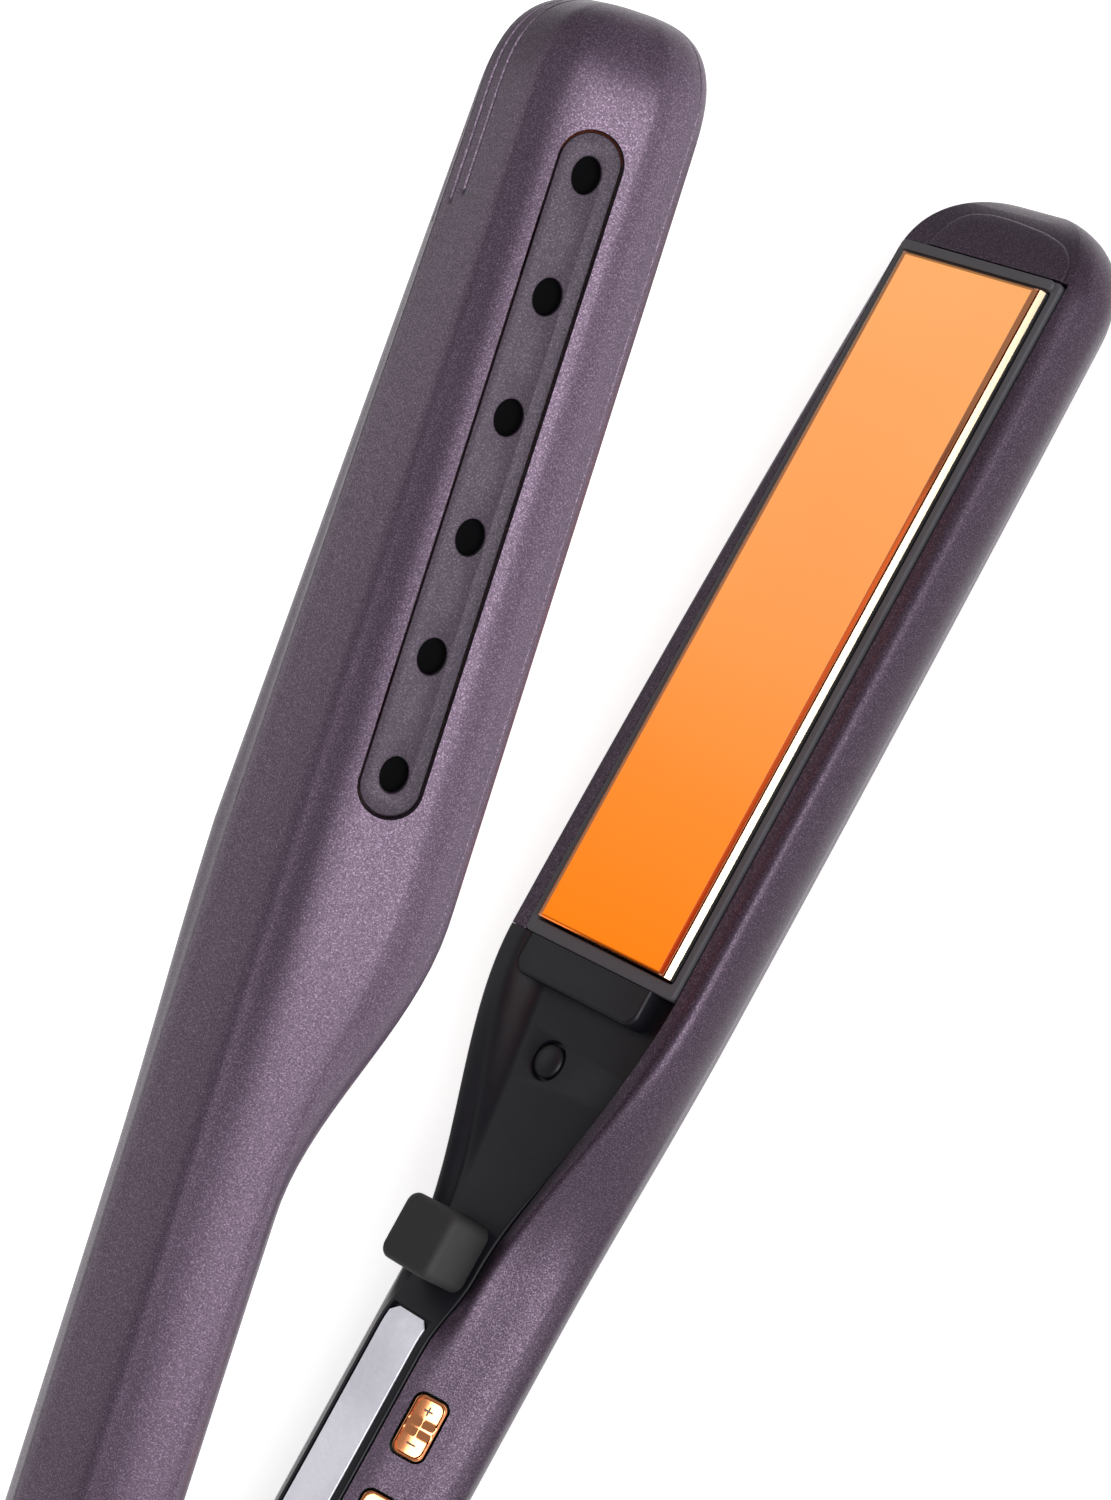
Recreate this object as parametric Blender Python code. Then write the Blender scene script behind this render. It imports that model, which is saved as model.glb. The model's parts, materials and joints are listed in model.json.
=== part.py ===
"""Flat iron (hair straightener), two mirrored arms on one hinge, drawn open.

Axes: X across the plates along the hinge axis, Y from the hinge to the tips, Z up. The lower arm
lies on its flat spine at Z = 0. Lengths are written in millimetres and multiplied by MM.
An arm's own coordinates are (x, y, d): d is the depth behind the plane in which the plates meet.
"""
import math

import bmesh
import bpy
from mathutils import Matrix, Vector

MM = 0.001
GAP = 0.3                 # clearance between neighbouring pieces

# main sizes
PLATE_W = 25.0            # one inch class heating plate
PLATE_L = {"lower": 97.5, "upper": 90.5}
PLATE_T = 2.2
PLATE_FACE = 0.15         # face of a plate behind the meeting plane
PLATE_TRAVEL = 0.8        # how far a floating plate sinks
ARM_DEPTH = 20.5          # meeting plane to spine
SPINE_HALF = 4.2          # half width of the flat spine
WALL = 1.6
TIP_START = {"lower": 97.5, "upper": 88.5}      # the section starts to round off here
TIP_END = {"lower": 109.9, "upper": 102.4}
TIP_CENTRE = {"lower": 9.0, "upper": 6.5}       # depth of the tip's end point
TIP_POWER = {"lower": 2.2, "upper": 2.9}
TIP_SHIFT = {"lower": 0.0, "upper": 3.2}       # x of the tip's end point
REAR_END = -130.0         # rear wall of a shell
HINGE_Y = -144.5
OPEN_ANGLE = 15.5         # degrees between the arms at rest
KNUCKLE_R = 9.0
KNUCKLE_HALF = 7.0        # half width of the upper arm's centre knuckle
LUG_OUT = 13.6
PIN_R = 2.5
SPRING_ROOM_R = 5.4
SPRING_ROOM_HALF = 4.8
FRAME_TOP = 1.45          # plate carrier behind the meeting plane
FRAME_HALF = 13.9
FRAME_Y0 = -2.1
FRAME_END = 1.8           # how far a plate carrier runs past its plate at the tip
COVER_T = 1.6
VENT_L = 79.5
VENT_W = 6.9
VENT_Y = 48.0             # centre of the row of vents
VENT_PITCH = 14.0
VENT_COUNT = 6
VENT_HOLE = (4.3, 3.2)
VENT_SIDE = {"lower": -1, "upper": 1}
VENT_TILT = 127.5         # lean of the vent facet, measured from the inner face's normal
VENT_AT = (13.05, 15.1)
SCREW_Y = -15.5
SCREW_R = 2.65
SCREW_X = {"lower": -2.6, "upper": 0.0}
BLOCK_Y = (-46.4, -37.4)
BLOCK_HALF = 4.7
BLOCK_X = -0.6
BLOCK_TOP = -2.9          # in front of the meeting plane
PAD_FRONT = 4.6
PAD_REAR = 3.25
BUTTON = (8.0, 4.3)
BUTTON_AT = (7.65, 5.6)   # x and depth of a button's centre on the flank
BUTTON_Y = (-62.5, -75.8)
FLANK_TILT = 44.2         # lean of the handle's inner flank
LEDGE_MIDDLE = {"lower": -1.6, "upper": 0.0}
LABEL_Y = (-93.0, -51.0)
LABEL_X = (-4.0, 2.75)
GLAND_DEPTH = 13.4
GLAND_R = 4.0

PLANE_Z = ARM_DEPTH       # height of the meeting plane


def smooth(a, b, t):
    """0 below a, 1 above b, smooth between."""
    t = min(1.0, max(0.0, (t - a) / (b - a)))
    return t * t * (3.0 - 2.0 * t)


def strip_depth(y, arm):
    """Depth of the black inner cover's face."""
    extra = 1.2 if arm == "upper" else 0.0
    d = 2.0 + 0.8 * smooth(-115.0, -70.0, y) + 2.2 * smooth(-54.0, -43.5, y)
    return d + extra * (1.0 - smooth(-54.0, -43.5, y))


def half_opening(y):
    """Half width of a shell's opening on the inner side."""
    return 4.5 + 9.7 * smooth(-43.0, -2.0, y)


def rim_depth(y, arm):
    return strip_depth(y, arm) - 3.1 * smooth(-36.0, -3.0, y)


# control points of half a section (x, d), from the rim of the opening round to the spine
HANDLE = {
    "lower": [(6.4, 4.25), (8.0, 5.85), (9.7, 7.55), (11.2, 9.1), (12.6, 11.0), (13.1, 13.3),
              (10.3, 17.3), (7.0, 19.6)],
    "upper": [(6.4, 5.5), (8.0, 7.1), (9.7, 8.7), (11.2, 10.2), (12.6, 11.9), (13.2, 13.9),
              (10.4, 17.4), (7.0, 19.6)],
}
FULL = [(15.7, 2.45), (16.6, 3.3), (17.3, 5.2), (17.5, 7.6), (16.6, 10.4), (15.2, 12.5),
        (10.9, 17.9), (7.0, 19.7)]
FULL_TIP = [(14.9, 2.5), (15.8, 3.3), (16.6, 5.2), (16.9, 7.6), (16.4, 10.4), (15.2, 12.4),
            (10.9, 17.9), (7.0, 19.7)]
FAR = [(15.6, 2.45), (16.4, 3.4), (16.7, 5.4), (16.6, 7.6), (16.2, 10.4), (15.2, 12.3),
       (10.9, 17.9), (7.0, 19.7)]
WIDE = [(16.4, 2.0), (17.1, 2.5), (17.4, 4.6), (17.3, 7.4), (16.5, 10.4), (15.2, 12.3),
        (10.9, 17.9), (7.0, 19.7)]
WIDE_TIP = [(15.0, 2.5), (15.9, 3.6), (16.3, 5.6), (16.4, 8.0), (16.1, 10.4), (15.2, 12.3),
            (10.9, 17.9), (7.0, 19.7)]
LOW = [(16.4, 2.1), (17.45, 3.0), (17.9, 4.9), (17.7, 7.6), (16.6, 10.5), (15.1, 12.5),
       (10.9, 17.9), (7.0, 19.7)]
LOW_TIP = [(15.3, 2.5), (16.4, 3.8), (17.0, 5.9), (16.9, 8.2), (15.9, 10.5), (14.7, 12.1),
           (10.4, 17.4), (6.8, 19.6)]
SLIM_TIP = [(15.0, 2.5), (15.4, 3.4), (15.5, 5.0), (15.2, 6.8), (14.6, 8.6), (13.5, 10.5),
            (8.6, 14.8), (5.9, 17.0)]
BARREL = {
    ("lower", 1): (LOW, LOW_TIP),
    ("lower", -1): (WIDE, WIDE_TIP),
    ("upper", 1): (FULL, FULL_TIP),
    ("upper", -1): (FAR, SLIM_TIP),
}
HOLLOW_HANDLE = {
    "lower": [(6.9, 7.2), (9.5, 9.8), (10.9, 12.0), (11.2, 13.4), (9.1, 16.0), (6.2, 18.1)],
    "upper": [(6.9, 8.2), (9.5, 10.8), (11.0, 12.8), (11.3, 13.9), (9.1, 16.0), (6.2, 18.1)],
}
HOLLOW = [(14.4, 5.2), (14.8, 7.4), (14.4, 9.6), (13.5, 11.2), (9.6, 16.3), (6.2, 18.0)]
HOLLOW_SLIM = [(14.3, 4.2), (13.6, 5.8), (12.9, 7.8), (11.8, 9.3), (7.2, 13.2), (4.6, 15.2)]
SLIM_SPINE = {1: 19.9, -1: 18.0}      # depth of the upper arm's spine at its tip, by side
NECK = {"lower": (-46.0, -2.0), "upper": (-42.0, -2.0)}     # handle ends, barrel begins


def mix(a, b, k):
    return [(p[0] + k * (q[0] - p[0]), p[1] + k * (q[1] - p[1])) for p, q in zip(a, b)]


def spine_depth(y, arm, side):
    if arm == "lower":
        return ARM_DEPTH
    return ARM_DEPTH + (SLIM_SPINE[side] - ARM_DEPTH) * smooth(-10.0, 110.0, y)


def outer_half(y, arm, side):
    """Half of a shell's section, from the opening round to the spine."""
    rear, tip = BARREL[arm, side]
    k = min(1.0, max(0.0, y / 97.0))
    barrel_points = mix(rear, tip, k * k if arm == "lower" else k)
    points = [(half_opening(y) + 0.2, rim_depth(y, arm))]
    points += mix(HANDLE[arm], barrel_points, smooth(*NECK[arm], y))
    points.append((SPINE_HALF, spine_depth(y, arm, side)))
    return points


def inner_half(y, arm, side):
    """Half of the hollow's section, straight up through the opening."""
    barrel_points = HOLLOW
    if (arm, side) == ("upper", -1):
        barrel_points = mix(HOLLOW, HOLLOW_SLIM, min(1.0, max(0.0, y / 97.0)))
    w = half_opening(y)
    points = [(w, -3.0), (w, rim_depth(y, arm) + 1.9)]
    points += mix(HOLLOW_HANDLE[arm], barrel_points, smooth(*NECK[arm], y))
    points.append((3.8, spine_depth(y, arm, side) - WALL))
    return points


def tip_scale(y, arm):
    """Rounding of the tip, 1 in the body and 0 at the very end."""
    if y <= TIP_START[arm]:
        return 1.0
    s = min(1.0, (y - TIP_START[arm]) / (TIP_END[arm] - TIP_START[arm]))
    power = TIP_POWER[arm]
    return max(0.0, 1.0 - s ** power) ** (1.0 / power)


def spline(points, steps):
    """Open Catmull-Rom curve through 2D points."""
    out = []
    for i in range(len(points) - 1):
        p0 = points[max(i - 1, 0)]
        p1 = points[i]
        p2 = points[i + 1]
        p3 = points[min(i + 2, len(points) - 1)]
        for j in range(steps):
            t = j / steps
            out.append(tuple(
                0.5 * (2 * p1[k] + (p2[k] - p0[k]) * t
                       + (2 * p0[k] - 5 * p1[k] + 4 * p2[k] - p3[k]) * t * t
                       + (3 * p1[k] - p0[k] - 3 * p2[k] + p3[k]) * t ** 3)
                for k in (0, 1)))
    out.append(points[-1])
    return out


def both_sides(near, far=None):
    """Closed section from its near half, and its far half when that differs."""
    return list(near) + [(-x, d) for x, d in reversed(far or near)]


# placing

HINGE = Vector((0.0, HINGE_Y, PLANE_Z)) * MM


def place(point, arm):
    """Arm coordinates in millimetres to world metres, both arms closed."""
    x, y, d = point
    if arm == "lower":
        return Vector((x, y, PLANE_Z - d)) * MM
    return Vector((x, y, PLANE_Z + d)) * MM


def open_arm(obj):
    """Swing a piece of the upper arm from closed to its rest angle about the hinge."""
    turn = Matrix.Rotation(math.radians(OPEN_ANGLE), 4, "X")
    obj.data.transform(turn)
    obj.location = HINGE + turn.to_3x3() @ (obj.location - HINGE)


MATERIALS = {}


def material(name, colour, roughness, metallic):
    mat = bpy.data.materials.new(name)
    mat.use_nodes = True
    shader = mat.node_tree.nodes["Principled BSDF"]
    shader.inputs["Base Color"].default_value = (*colour, 1.0)
    shader.inputs["Roughness"].default_value = roughness
    shader.inputs["Metallic"].default_value = metallic
    MATERIALS[name] = mat


material("purple_plastic", (0.16, 0.10, 0.17), 0.38, 0.35)
material("vent_plastic", (0.15, 0.11, 0.16), 0.5, 0.1)
material("black_plastic", (0.03, 0.03, 0.035), 0.45, 0.0)
material("grey_frame", (0.13, 0.12, 0.15), 0.6, 0.0)
material("gold_plate", (0.95, 0.45, 0.16), 0.12, 1.0)
material("rose_chrome", (0.9, 0.45, 0.28), 0.1, 1.0)
material("black_rubber", (0.03, 0.027, 0.025), 0.75, 0.0)
material("silver_label", (0.6, 0.6, 0.64), 0.35, 0.3)
material("steel", (0.6, 0.6, 0.62), 0.3, 1.0)
material("board_green", (0.03, 0.16, 0.08), 0.5, 0.0)
material("heater_ceramic", (0.75, 0.72, 0.68), 0.7, 0.0)
material("mica_sheet", (0.62, 0.55, 0.42), 0.5, 0.0)
material("cushion_silicone", (0.5, 0.12, 0.08), 0.8, 0.0)
material("component_black", (0.02, 0.02, 0.02), 0.5, 0.0)
material("inspection_brass", (0.7, 0.5, 0.2), 0.3, 1.0)


def mesh_object(name, verts, faces, mat=None, origin=None):
    """One named object, its origin at the joint axis when one is given."""
    origin = Vector(origin) if origin is not None else Vector((0.0, 0.0, 0.0))
    mesh = bpy.data.meshes.new(name)
    mesh.from_pydata([tuple(Vector(v) - origin) for v in verts], [], faces)
    mesh.validate()
    bm = bmesh.new()
    bm.from_mesh(mesh)
    bmesh.ops.recalc_face_normals(bm, faces=bm.faces)
    bm.to_mesh(mesh)
    bm.free()
    obj = bpy.data.objects.new(name, mesh)
    obj.location = origin
    if mat:
        mesh.materials.append(MATERIALS[mat])
    bpy.context.scene.collection.objects.link(obj)
    return obj


def loft(name, rings, mat=None, origin=None, wrap=False):
    """Closed skin over rings of equal length, capped unless it wraps round."""
    n = len(rings[0])
    verts = [p for ring in rings for p in ring]
    faces = []
    spans = len(rings) if wrap else len(rings) - 1
    for i in range(spans):
        a = i * n
        b = ((i + 1) % len(rings)) * n
        for j in range(n):
            k = (j + 1) % n
            faces.append((a + j, a + k, b + k, b + j))
    if not wrap:
        faces.append(tuple(range(n)))
        faces.append(tuple(range((len(rings) - 1) * n, len(rings) * n)))
    return mesh_object(name, verts, faces, mat, origin)


def boolean(obj, tool, operation="DIFFERENCE"):
    """Cut or join with an exact Boolean and drop the tool."""
    tool.hide_render = True
    tool.display_type = "WIRE"
    mod = obj.modifiers.new("bool", "BOOLEAN")
    mod.operation = operation
    mod.solver = "EXACT"
    mod.object = tool
    bpy.context.view_layer.update()
    graph = bpy.context.evaluated_depsgraph_get()
    mesh = bpy.data.meshes.new_from_object(obj.evaluated_get(graph))
    mesh.name = obj.name
    obj.modifiers.remove(mod)
    old = obj.data
    obj.data = mesh
    bpy.data.meshes.remove(old)
    gone = tool.data
    bpy.data.objects.remove(tool, do_unlink=True)
    bpy.data.meshes.remove(gone)
    return obj


def rounded_rect(half_u, half_v, r, steps):
    """Corner-rounded rectangle, counter-clockwise."""
    out = []
    for cu, cv, start in ((1, 1, 0), (-1, 1, 90), (-1, -1, 180), (1, -1, 270)):
        for i in range(steps + 1):
            a = math.radians(start + 90.0 * i / steps)
            out.append((cu * (half_u - r) + r * math.cos(a), cv * (half_v - r) + r * math.sin(a)))
    return out


def circle(r, n, ratio=1.0):
    return [(r * math.cos(2 * math.pi * i / n), r * ratio * math.sin(2 * math.pi * i / n))
            for i in range(n)]


def stack(name, arm, layers, mat=None, centre=(0.0, 0.0, 0.0), tilt=0.0, origin=None):
    """Loft of (outline, height) layers. Outlines are (u along Y, v across), height along the
    normal. The normal points out of the arm's inner face and leans towards +x by tilt degrees."""
    c = math.cos(math.radians(tilt))
    s = math.sin(math.radians(tilt))
    rings = []
    for outline, h in layers:
        ring = []
        for u, v in outline:
            ring.append(place((centre[0] + v * c + h * s, centre[1] + u,
                               centre[2] + v * s - h * c), arm))
        rings.append(ring)
    return loft(name, rings, mat, origin)


def box(name, arm, xs, ys, ds, mat=None, origin=None):
    rings = []
    for d in ds:
        rings.append([place((x, y, d), arm) for x, y in
                      ((xs[0], ys[0]), (xs[1], ys[0]), (xs[1], ys[1]), (xs[0], ys[1]))])
    return loft(name, rings, mat, origin)


def rod(name, arm, y, d, spans, n, mat=None, origin=None):
    """Round bar along X through (y, d): spans are (x, radius)."""
    rings = []
    for x, r in spans:
        rings.append([place((x, y + a, d + b), arm) for a, b in circle(r, n)])
    return loft(name, rings, mat, origin)


def barrel(name, x, d, spans, n, mat=None, origin=None):
    """Round bar along Y of the lower arm: spans are (y, radius)."""
    rings = []
    for y, r in spans:
        rings.append([place((x + a, y, d + b), "lower") for a, b in circle(r, n)])
    return loft(name, rings, mat, origin)


def stations(a, b, arm):
    """Places along the arm where sections are taken."""
    ys = [-115.0, -100.0, -84.0, -70.0, -62.0, -54.0, -46.0, -40.0, -34.0, -28.0, -22.0, -16.0,
          -10.0, -4.0, 2.0, 50.0]
    span = TIP_END[arm] - TIP_START[arm]
    ys += [TIP_START[arm] + span * t for t in (0.0, 0.3, 0.52, 0.7, 0.83, 0.93, 0.98)]
    return [a] + [y for y in ys if a + 0.5 < y < b - 0.1] + [b]


def hinge_web(name, arm, x0, x1, mat=None):
    """Knuckle: a disc about the hinge axis drawn out to meet the shell's rear wall."""
    foot = (REAR_END + 1.2 - HINGE_Y)
    outline = []
    for i in range(13):
        a = math.radians(64.0 + (296.0 - 64.0) * i / 12.0)
        outline.append((KNUCKLE_R * math.cos(a), -KNUCKLE_R * math.sin(a)))
    outline += [(foot, 18.9), (foot, 3.4)]
    rings = [[place((x, HINGE_Y + u, d), arm) for u, d in outline] for x in (x0, x1)]
    return loft(name, rings, mat)


def far_edge(y):
    """The lower arm's outer line on the far side, from the opening down to the cover's back."""
    line = spline(outer_half(y, "lower", -1), 2)
    end = strip_depth(y, "lower") + COVER_T
    last = next(i for i, p in enumerate(line) if p[1] > end)
    part = line[:last]
    p, q = line[last - 1], line[last]
    k = (end - p[1]) / (q[1] - p[1])
    part.append((p[0] + k * (q[0] - p[0]), end))
    out = []
    for i in range(6):
        t = i / 5 * (len(part) - 1)
        j = min(int(t), len(part) - 2)
        p, q = part[j], part[j + 1]
        out.append((p[0] + (t - j) * (q[0] - p[0]), p[1] + (t - j) * (q[1] - p[1])))
    return out


def far_ramp(y):
    """Rise from the cover's face to its far edge."""
    w = half_opening(y)
    low = strip_depth(y, "lower")
    high = rim_depth(y, "lower")
    start = w - 0.3 - 4.5 * smooth(-43.0, -8.0, y)
    out = []
    for t in (0.0, 0.25, 0.5, 0.75):
        out.append((start + (w + 0.2 - start) * t, low + (high - low) * smooth(0.0, 1.0, t)))
    return out


def far_opening():
    """Tool that lowers the lower shell's far wall under the cover."""
    rings = []
    for y in stations(REAR_END + 2.0, FRAME_Y0, "lower"):
        x = half_opening(y) - 1.0
        d = strip_depth(y, "lower") + COVER_T + GAP
        rings.append([place((a, y, b), "lower") for a, b in ((-x, -6.0), (-x, d), (-40.0, d),
                                                             (-40.0, -6.0))])
    return loft("tool", rings)


def shell(arm):
    """Outer housing of one arm with its hollow, vent slots and hinge knuckles."""
    origin = HINGE if arm == "upper" else None
    rings = []
    for y in stations(REAR_END, TIP_END[arm] - 0.05, arm):
        s = tip_scale(y, arm)
        section = both_sides(spline(outer_half(y, arm, 1), 2), spline(outer_half(y, arm, -1), 2))
        a = TIP_SHIFT[arm]
        c = TIP_CENTRE[arm]
        rings.append([place((a + (x - a) * s, y, c + (d - c) * s), arm) for x, d in section])
    body = loft(arm + "_shell", rings, "purple_plastic", origin)
    hollow = []
    for y in stations(REAR_END + 2.0, PLATE_L[arm] + FRAME_END + GAP, arm):
        section = both_sides(inner_half(y, arm, 1), inner_half(y, arm, -1))
        hollow.append([place((x, y, d), arm) for x, d in section])
    boolean(body, loft("tool", hollow))
    outline = rounded_rect(VENT_L / 2 + GAP, VENT_W / 2 + GAP, VENT_W / 2 + GAP - 0.01, 5)
    boolean(body, vent_stack("tool", arm, [(outline, -3.2), (outline, 2.0)]))
    if arm == "lower":
        boolean(body, far_opening())
        for side in (1, -1):
            x0, x1 = sorted((side * (KNUCKLE_HALF + GAP), side * LUG_OUT))
            boolean(body, hinge_web("tool", arm, x0, x1), "UNION")
        boolean(body, rod("tool", arm, HINGE_Y, 0.0, [(-20, PIN_R + GAP), (20, PIN_R + GAP)], 16))
        boolean(body, barrel("tool", 0.0, GLAND_DEPTH, [(REAR_END - 3, GLAND_R + GAP),
                                                        (REAR_END + 4, GLAND_R + GAP)], 20))
        for y in BUTTON_Y:
            outline = rounded_rect(BUTTON[0] / 2 + GAP, BUTTON[1] / 2 + GAP, 1.3, 3)
            tool = stack("tool", arm, [(outline, -3.5), (outline, 2.0)],
                         centre=(BUTTON_AT[0], y, BUTTON_AT[1]), tilt=FLANK_TILT)
            boolean(body, tool)
    else:
        boolean(body, hinge_web("tool", arm, -KNUCKLE_HALF, KNUCKLE_HALF), "UNION")
        boolean(body, rod("tool", arm, HINGE_Y, 0.0,
                          [(-20, PIN_R + GAP), (-SPRING_ROOM_HALF, PIN_R + GAP),
                           (-SPRING_ROOM_HALF, SPRING_ROOM_R), (SPRING_ROOM_HALF, SPRING_ROOM_R),
                           (SPRING_ROOM_HALF, PIN_R + GAP), (20, PIN_R + GAP)], 20))
    return body


def vent_stack(name, arm, layers, mat=None, origin=None):
    """Layers standing on the vent facet: near side of the upper arm, far side of the lower."""
    a = math.radians(VENT_TILT)
    side = VENT_SIDE[arm]
    rings = []
    for outline, h in layers:
        ring = []
        for u, v in outline:
            x = VENT_AT[0] + v * math.cos(a) + h * math.sin(a)
            d = VENT_AT[1] + v * math.sin(a) - h * math.cos(a)
            ring.append(place((side * x, VENT_Y + u, d), arm))
        rings.append(ring)
    return loft(name, rings, mat, origin)


def vent_strip(arm):
    """Recessed stadium insert with a row of oval holes."""
    origin = HINGE if arm == "upper" else None
    small = rounded_rect(VENT_L / 2, VENT_W / 2, VENT_W / 2 - 0.01, 5)
    strip = vent_stack(arm + "_vent_strip", arm, [(small, -2.0), (small, -0.7)], "vent_plastic",
                       origin)
    for k in range(VENT_COUNT):
        y = (VENT_COUNT / 2 - 0.5 - k) * VENT_PITCH
        ring = [(y + u, v) for u, v in circle(VENT_HOLE[0] / 2, 14, VENT_HOLE[1] / VENT_HOLE[0])]
        boolean(strip, vent_stack("tool", arm, [(ring, -4.0), (ring, 2.0)]))
    return strip


def inner_cover(arm):
    """Inner cover: funnel behind the plate, narrowing to the strip along the handle."""
    origin = HINGE if arm == "upper" else None
    rings = []
    for y in stations(REAR_END + 2.0 + GAP, FRAME_Y0 - GAP, arm):
        w = half_opening(y) - GAP
        d = strip_depth(y, arm)
        section = [(w, d), (w, d + COVER_T)]
        if arm == "lower":
            section += [(-x, q) for x, q in reversed(far_ramp(y) + far_edge(y))]
        else:
            section += [(-w, d + COVER_T), (-w, d)]
        rings.append([place((x, y, q), arm) for x, q in section])
    cover = loft(arm + "_inner_cover", rings, "black_plastic", origin)
    top = strip_depth(-5.0, arm) - 3.0
    front = FRAME_Y0 - GAP
    middle = LEDGE_MIDDLE[arm]
    outline = [(front - y, x) for y, x in ((-0.0, 11.4), (3.4, 11.4), (4.7, 10.9), (5.2, 9.6),
                                           (5.2, -9.6), (4.7, -10.9), (3.4, -11.4), (-0.0, -11.4))]
    boolean(cover, stack("tool", arm, [(outline, -3.8), (outline, 0.0)],
                         centre=(middle, 0.0, top)), "UNION")
    hole = circle(SCREW_R, 20)
    boolean(cover, stack("tool", arm, [(hole, -1.0), (hole, 2.0)],
                         centre=(SCREW_X[arm], SCREW_Y, strip_depth(SCREW_Y, arm))))
    if arm == "lower":
        a, b = LABEL_X[0] - GAP, LABEL_X[1] + GAP
        rings = []
        for y in (LABEL_Y[0] - GAP, -80.0, -65.0, LABEL_Y[1] + GAP):
            d = strip_depth(y, arm) + 0.55
            rings.append([place(p, arm) for p in ((b, y, -3.0), (b, y, d), (a, y, d),
                                                  (a, y, -3.0))])
        boolean(cover, loft("tool", rings))
    return cover


def plate_frame(arm):
    """Carrier frame in which the plate floats."""
    origin = HINGE if arm == "upper" else None
    end = PLATE_L[arm] + FRAME_END
    mid = (FRAME_Y0 + end) / 2
    half = (end - FRAME_Y0) / 2
    outer = rounded_rect(half, FRAME_HALF, 0.8, 2)
    frame = stack(arm + "_plate_frame", arm, [(outer, -4.6), (outer, -FRAME_TOP)],
                  "grey_frame", (0.0, mid, 0.0), origin=origin)
    hole = rounded_rect(PLATE_L[arm] / 2 + GAP, PLATE_W / 2 + GAP, 0.5, 2)
    centre = (0.0, PLATE_L[arm] / 2, 0.0)
    boolean(frame, stack("tool", arm, [(hole, -9.0), (hole, 2.0)], centre=centre))
    return frame


def plate_centre(arm):
    return place((0.0, PLATE_L[arm] / 2, 0.0), arm)


def plate(arm):
    """Heating plate: flat face, bevelled long edges."""
    origin = plate_centre(arm)
    length = PLATE_L[arm]
    section = [(PLATE_W / 2 - 0.5, PLATE_FACE), (PLATE_W / 2, PLATE_FACE + 0.35),
               (PLATE_W / 2, PLATE_FACE + PLATE_T)]
    rings = []
    for y, s in ((0.0, 0.4), (0.4, 0.0), (length - 0.4, 0.0), (length, 0.4)):
        ring = []
        for x, d in both_sides(section):
            if d < PLATE_FACE + 0.3:
                d += s
            ring.append(place((x, y, d), arm))
        rings.append(ring)
    return loft(arm + "_plate", rings, "gold_plate", origin)


def arm_parts(arm):
    """Everything the two arms share."""
    origin = HINGE if arm == "upper" else None
    plate_origin = plate_centre(arm)
    shell(arm)
    inner_cover(arm)
    plate_frame(arm)
    vent_strip(arm)
    plate(arm)
    top = PLATE_FACE + PLATE_T + GAP
    end = PLATE_L[arm] - 5.0
    box(arm + "_heater", arm, (-8.0, 8.0), (9.0, end - 4.0), (top, top + 2.4), "heater_ceramic",
        plate_origin)
    box(arm + "_insulator", arm, (-10.5, 10.5), (5.0, end), (top + 2.7, top + 3.3),
        "mica_sheet", plate_origin)
    under = top + 3.3
    for tag, y in (("front", 74.0), ("rear", 20.0)):
        rod_rings = []
        for r, d in ((3.6, under + GAP + PLATE_TRAVEL), (3.6, 11.5)):
            rod_rings.append([place((a, y + b, d), arm) for a, b in circle(r, 14)])
        loft(arm + "_cushion_" + tag, rod_rings, "cushion_silicone", origin)
    dome = [(circle(2.2, 16), -0.7), (circle(2.2, 16), -0.1), (circle(1.6, 16), 0.35),
            (circle(0.7, 16), 0.55)]
    stack(arm + "_screw_plug", arm, dome, "black_plastic",
          (SCREW_X[arm], SCREW_Y, strip_depth(SCREW_Y, arm)), origin=origin)


def button(name, y, ridge, mat):
    """Mirror-finish key in the near flank of the lower handle."""
    full = rounded_rect(BUTTON[0] / 2, BUTTON[1] / 2, 1.1, 4)
    inner = rounded_rect(BUTTON[0] / 2 - 0.45, BUTTON[1] / 2 - 0.45, 0.8, 4)
    low = rounded_rect(BUTTON[0] / 2 - 1.2, BUTTON[1] / 2 - 1.0, 0.5, 4)
    layers = [(full, -2.0), (full, 0.35), (inner, 0.75), (low, 0.5 if ridge else 0.4)]
    centre = (BUTTON_AT[0], y, BUTTON_AT[1])
    return stack(name, "lower", layers, mat, centre, FLANK_TILT, place(centre, "lower"))


def torsion_spring():
    """Coil round the hinge pin inside the centre knuckle."""
    turns = 5
    steps = 12
    sides = 5
    wire = 0.5
    r = 4.1
    width = 2 * (SPRING_ROOM_HALF - 1.1)
    rings = []
    count = turns * steps
    for i in range(count + 1):
        t = i / count
        a = 2 * math.pi * turns * t
        x = -width / 2 + width * t
        ring = []
        for j in range(sides):
            b = 2 * math.pi * j / sides
            rr = r + wire * math.cos(b)
            ring.append(place((x + wire * math.sin(b), HINGE_Y + rr * math.cos(a),
                               rr * math.sin(a)), "lower"))
        rings.append(ring)
    return loft("hinge_spring", rings, "steel")


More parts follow.
